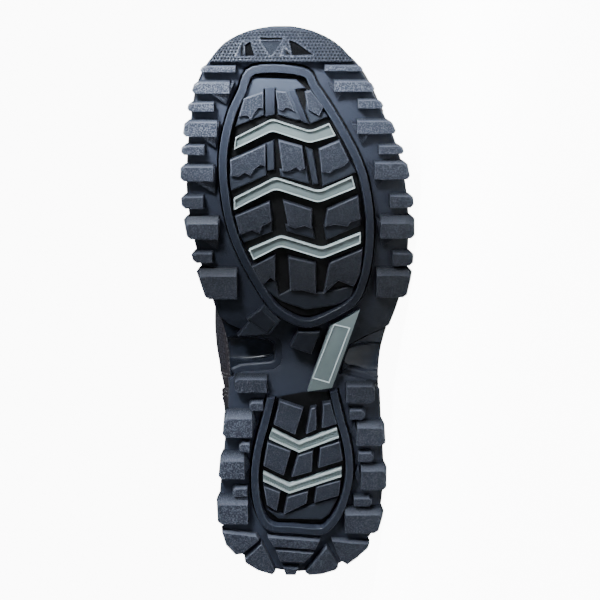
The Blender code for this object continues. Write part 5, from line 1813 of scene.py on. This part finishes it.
def buildLace():
    eyeletLift = 2 * upperShape["gap"] + upperShape["overlay"] + 2 * eyelets["rim"]
    lift = eyeletLift + laceShape["rise"] + laceShape["radius"]
    places = eyeletPlaces()

    def hole(pair, side):
        # From the end inside the eyelet up to the bend over it
        return [stayPoint(places[pair], side, eyelets["inset"], depth)[0]
                for depth in (laceShape["end"], lift - laceShape["bend"])]

    def overEdge(pair, side, shift):
        return stayPoint(places[pair] + shift, side, 0.0, lift)[0]

    def overTongue(row):
        low = int(row)
        ends = [innerPoint(index, 1, 0.0, -laceShape["lift"]) for index in (low, low + 1)]
        return ends[0].lerp(ends[1], row - low)

    def overRim(pair, side, shift):
        inset = eyelets["inset"] - laceShape["overRim"]
        return stayPoint(places[pair] + shift, side, inset, lift - laceShape["sag"])[0]

    crossings = [[*hole(0, -1), overRim(0, -1, 0), overEdge(0, -1, 0), overTongue(places[0]),
                  overEdge(0, 1, 0), overRim(0, 1, 0), *hole(0, 1)[::-1]]]
    for pair in range(1, eyelets["pairs"]):
        middle = overTongue((places[pair] + places[pair - 1]) / 2)
        for layer, side in enumerate((1, -1)):
            bump = Vector((0, 0.72, 0.7)).normalized() * laceShape["radius"] * (1.05 if layer else -0.75)
            slant = laceShape["slant"]
            crossings.append([
                *hole(pair - 1, side), overRim(pair - 1, side, slant * 0.5), overEdge(pair - 1, side, slant),
                middle + bump, overEdge(pair, -side, -slant), overRim(pair, -side, -slant * 0.5),
                *hole(pair, -side)[::-1]])
    lace = joinAs("laceCrossings", [tubeAlong("crossing", spline(points, 7), laceShape["radius"])
                                    for points in crossings])
    finishPiece(lace, braidedCord, ["lace"], 60)


midsoleShape = {"profile": [(0, 0.4), (0.1, 0.1), (0.2, 0), (0.45, 0.05), (0.5, 0.25), (0.535, 0.85),
                            (0.56, 1), (0.6, 0.9), (0.66, 0.78), (0.8, 0.7), (0.92, 0.72)],
                "groove": 1.8 * mm, "drop": 3.5 * mm, "gap": 1.2 * mm, "edge": 1.5 * mm, "lip": 1.1 * mm,
                "dishes": [(30, 132, 19, 7.5, 3.5), (-38, 127, 16, 8.5, 3.5)]}


def buildMidsole():
    stations = [0.15, 0.8, 2.2, 5, 9, *range(13, 290, 3), 292, 295, 297.5, 298.8, 299.6]
    layers, slabLayers = [], []
    for station in stations:
        y = station * mm
        middle, half = soleEdge(y)
        low = plateTop(y) + upperShape["gap"]
        topY = topStation(y)
        topMiddle, topHalf = featherEdge(topY, upperShape["ledge"])
        rise = midsoleTop(topY) - low
        groove = min(midsoleShape["groove"], 0.3 * half)
        side = []
        for share, inset in midsoleShape["profile"]:
            blend = share ** 2
            side.append((half * (1 - blend) + topHalf * blend - inset * groove,
                         middle * (1 - blend) + topMiddle * blend,
                         y * (1 - blend) + topY * blend, low + share * rise))
        side.append((topHalf - 0.5 * mm, topMiddle, topY, low + rise))
        layers.append([(centre + x, place, z) for x, centre, place, z in side]
                      + [(centre - x, place, z) for x, centre, place, z in reversed(side)])
        inset = min(0.5 * midsoleShape["edge"], 0.3 * half)
        bottom, top = plateTop(y) - midsoleShape["drop"], plateTop(y) + midsoleShape["edge"]
        slabLayers.append([(middle + sign * (half - inset), y, z)
                           for sign, z in ((1, bottom), (1, top), (-1, top), (-1, bottom))])
    midsole = stackLayers("midsoleBody", layers)
    roundEdges(midsole, 0.5 * mm, 2, 50)
    for outline in (solePlate["inner"], solePlate["outer"]):
        flat = offsetPath(counterClockwise(metres(outline)), midsoleShape["gap"])
        pad = stackLayers("scoopPad", slabLayers)
        cutAway(pad, stackLayers("opening", [flatLayer(flat, -lugDepth), flatLayer(flat, 5 * lugDepth)]),
                "INTERSECT")
        cutAway(midsole, pad, "UNION")
    for x, y, reachX, reachY, deep in midsoleShape["dishes"]:
        dish = addShape("uv_sphere", segments=48, ring_count=24, radius=1)
        low = plateTop(y * mm) - midsoleShape["drop"]
        size = Matrix.Diagonal((reachX * mm, reachY * mm, deep * mm, 1))
        dish.data.transform(Matrix.Translation((x * mm, y * mm, low)) @ size)
        cutAway(midsole, dish)
    roundEdges(midsole, 0.7 * mm, 3, 38)
    finishPiece(midsole, glossRubber, ["midsole"], 40)


insoleShape = {"inset": 3.2 * mm, "thickness": 3 * mm}


def buildInsole():
    inset = insoleShape["inset"]
    start = upperShape["featherHeel"] + 1.5 * inset
    end = soleLength - upperShape["featherToe"] - 3 * inset
    layers = []
    for step in range(61):
        y = start + (end - start) * step / 60
        middle, half = featherEdge(y)
        half -= 2 * inset
        low = midsoleTop(y) + upperShape["gap"]
        high = low + insoleShape["thickness"]
        cup = 1.5 * mm * (1 - smoothStep((y - 40 * mm) / (60 * mm)))
        section = [(1, low), (1, high), (0.9, high), (0.6, high - cup), (0, high - cup),
                   (-0.6, high - cup), (-0.9, high), (-1, high), (-1, low)]
        layers.append([(middle + share * half, y, z) for share, z in section])
    insole = stackLayers("insolePad", layers)
    roundEdges(insole, 0.8 * mm, 2, 50)
    finishPiece(insole, greyFelt, ["insole"], 50)


# Seams: rows of short stitches over the panels' borders
stitching = {"length": 2.5 * mm, "pitch": 3.5 * mm, "radius": 0.36 * mm, "proud": 0.12 * mm,
             "shape": [(-1, 0.3), (-0.65, 0.9), (0, 1), (0.65, 0.9), (1, 0.3)], "sides": 6,
             "insets": (2.2, 4.3), "longestGap": 7 * mm}


def sewAlong(track, stitches):
    travel = following = 0.0
    for (start, startOut), (end, endOut) in zip(track, track[1:]):
        span = (end - start).length
        if span > stitching["longestGap"] or span == 0:
            continue
        while following <= travel + span:
            share = (following - travel) / span
            stitches.append((start.lerp(end, share), (end - start) / span, startOut.lerp(endOut, share)))
            following += stitching["pitch"]
        travel += span


def gridTrack(side, cells, lift):
    return [(forms[side][i][j] + formNormals[side][i][j] * lift, formNormals[side][i][j]) for i, j in cells]


def sideTrack(outline, inset, side, tree, covers):
    # A side-view outline thrown onto one side of a panel, left out where another panel covers it
    flat = offsetPath(counterClockwise(outline), inset)
    flat.append(flat[0])
    track = []
    for start, end in zip(flat, flat[1:]):
        steps = max(1, round((end - start).length / 1.5))
        for step in range(steps):
            place = start.lerp(end, step / steps)
            origin = Vector((side * 0.09, place.x * mm, place.y * mm))
            reach = tree.ray_cast(origin, Vector((-side, 0, 0)))
            if reach[0] is None or reach[0].x * side < 0:
                continue
            if any((cover.ray_cast(origin, Vector((-side, 0, 0)))[3] or 1) < reach[3] for cover in covers):
                continue
            out = reach[1] if reach[1].x * side > 0 else -reach[1]
            track.append((reach[0], out))
    return track


def buildStitches():
    stitches = []
    rows, columns = len(forms[1]), len(forms[1][0])
    onPanel = upperShape["gap"] + upperShape["overlay"]
    capEdge = upperShape["toeCapRow"] * rowSteps
    stayEdge = upperShape["sideColumns"] * columnSteps
    stayRows = range((upperShape["throatRow"] + 1) * rowSteps + 2, rows - 3)
    covers = [tree for node, tree in sewnOn.items() if node != "upper"]
    for side in (1, -1):
        for inset in (1, 2):
            sewAlong(gridTrack(side, [(capEdge - inset, j) for j in range(3, columns)], onPanel), stitches)
            sewAlong(gridTrack(side, [(i, stayEdge + inset) for i in stayRows], onPanel), stitches)
        sewAlong(gridTrack(side, [(i, columns - 2) for i in stayRows], onPanel), stitches)
        for seam in upperLook["seams"][:-1]:
            i = round(seam * rowSteps)
            sewAlong(gridTrack(side, [(i, j) for j in range(1, stayEdge - 7)], 0.1 * mm), stitches)
        for inset in stitching["insets"]:
            sewAlong(sideTrack(upperShape["counter"], inset, side, sewnOn["heel_counter"], []), stitches)
            sewAlong(sideTrack(upperLook["nylon"], -inset, side, sewnOn["upper"], covers), stitches)
    vertices, faces = [], []
    sides, rings = stitching["sides"], len(stitching["shape"])
    for place, ahead, out in stitches:
        across = out.cross(ahead).normalized()
        out = ahead.cross(across)
        faces += tubeFaces(len(vertices), rings, sides)
        for share, wide in stitching["shape"]:
            middle = place + ahead * share * stitching["length"] / 2
            middle += out * (stitching["proud"] - 0.3 * mm * share ** 2)
            for step in range(sides):
                turn = 2 * math.pi * step / sides
                vertices.append(middle + (across * math.cos(turn) + out * math.sin(turn))
                                * stitching["radius"] * wide)
    print(len(stitches), "stitches")
    finishPiece(meshObject("seamStitches", vertices, faces), seamThread, (), 60)


buildUpper()
print("upper ready")
buildOverlays()
print("overlays ready")
buildMidsole()
buildInsole()
print("midsole and insole ready")
buildTongue()
buildEyelets()
buildLace()
print("tongue, eyelets and lace ready")
buildStitches()


# Camera at the photograph's angle, pale floor and soft studio light
view = {"eye": Vector((0, 0.3154, -0.5383)), "aim": Vector((0, 0.1617, 0)), "lens": 64.3}


def placeCamera():
    eye, aim = pose @ view["eye"], pose @ view["aim"]
    up = pose.to_3x3() @ Vector((0, 1, 0))
    back = (eye - aim).normalized()
    side = up.cross(back).normalized()
    turn = Matrix((side, back.cross(side), back)).transposed()
    bpy.ops.object.camera_add()
    camera = bpy.context.object
    camera.name = "photoCamera"
    camera.matrix_world = Matrix.Translation(eye) @ turn.to_4x4()
    camera.data.lens = view["lens"]
    camera.data.sensor_width = 36
    bpy.context.scene.camera = camera


studio = {
    "backdrop": 14.0, "room": 0.015, "floorGlow": 11.0, "floorSize": 9.0, "curveStart": 1.6,
    # place from the sole's middle, aim along the sole, size, spread in degrees, power, colour
    "lamps": {
        "toeSoftbox": ((0.45, -0.26, 0.26), 0.12, 0.12, 60, 0.9, (0.90, 0.95, 1.0)),
        "heelSoftbox": ((0.72, -0.46, 0.34), -0.10, 0.18, 30, 0.42, (0.90, 0.95, 1.0)),
        "topSoftbox": ((0.0, -0.6, 0.95), 0.0, 0.5, 120, 1.3, (0.9, 0.95, 1.0)),
        "backSoftbox": ((-0.2, 0.6, 1.7), 0.0, 1.2, 170, 6, (1.0, 0.98, 0.96)),
        "sideSoftbox": ((-1.2, 0.5, 0.9), 0.0, 1.0, 170, 3, (0.96, 0.98, 1.0)),
    },
}


def addLight(name, place, aim, size, spread, power, colour):
    bpy.ops.object.light_add(type="AREA", location=place)
    light = bpy.context.object
    light.name = name
    light.data.size = size
    light.data.spread = math.radians(spread)
    light.data.energy = power
    light.data.color = colour
    light.rotation_mode = "QUATERNION"
    light.rotation_quaternion = (place - aim).to_track_quat("Z", "Y")


def buildStudio():
    floor = addShape("plane", size=1)
    floor.name = "floor"
    bpy.ops.object.mode_set(mode="EDIT")
    bpy.ops.mesh.subdivide(number_cuts=40)
    bpy.ops.object.mode_set(mode="OBJECT")
    for vertex in floor.data.vertices:
        vertex.co *= studio["floorSize"]
        vertex.co.z = 0.5 * max(0.0, vertex.co.y - studio["curveStart"]) ** 2
    pickOnly(floor)
    bpy.ops.object.shade_smooth()
    pale, shader, _ = startMaterial("paleFloor", 0.9, specular=0.1)
    plug(shader["Base Color"], (0.9, 0.9, 0.9))
    plug(shader["Emission Color"], (1, 1, 1))
    seen = addNode(pale.node_tree, "ShaderNodeLightPath").outputs["Is Camera Ray"]
    plug(shader["Emission Strength"], multiply(seen, studio["floorGlow"]))
    floor.data.materials.append(pale)
    world = bpy.context.scene.world or bpy.data.worlds.new("studio")
    bpy.context.scene.world = world
    world.use_nodes = True
    background = world.node_tree.nodes["Background"].inputs
    plug(background["Color"], (0.93, 0.96, 1))
    seen = addNode(world.node_tree, "ShaderNodeLightPath").outputs["Is Camera Ray"]
    plug(background["Strength"], scaled(seen, studio["backdrop"] - studio["room"], studio["room"]))
    centre = pose @ Vector((0, 0.15, 0))
    for name, (place, along, size, spread, power, colour) in studio["lamps"].items():
        addLight(name, centre + Vector(place), centre + Vector((along, 0, 0)), size, spread, power, colour)


placeCamera()
buildStudio()
print("camera and lights ready")
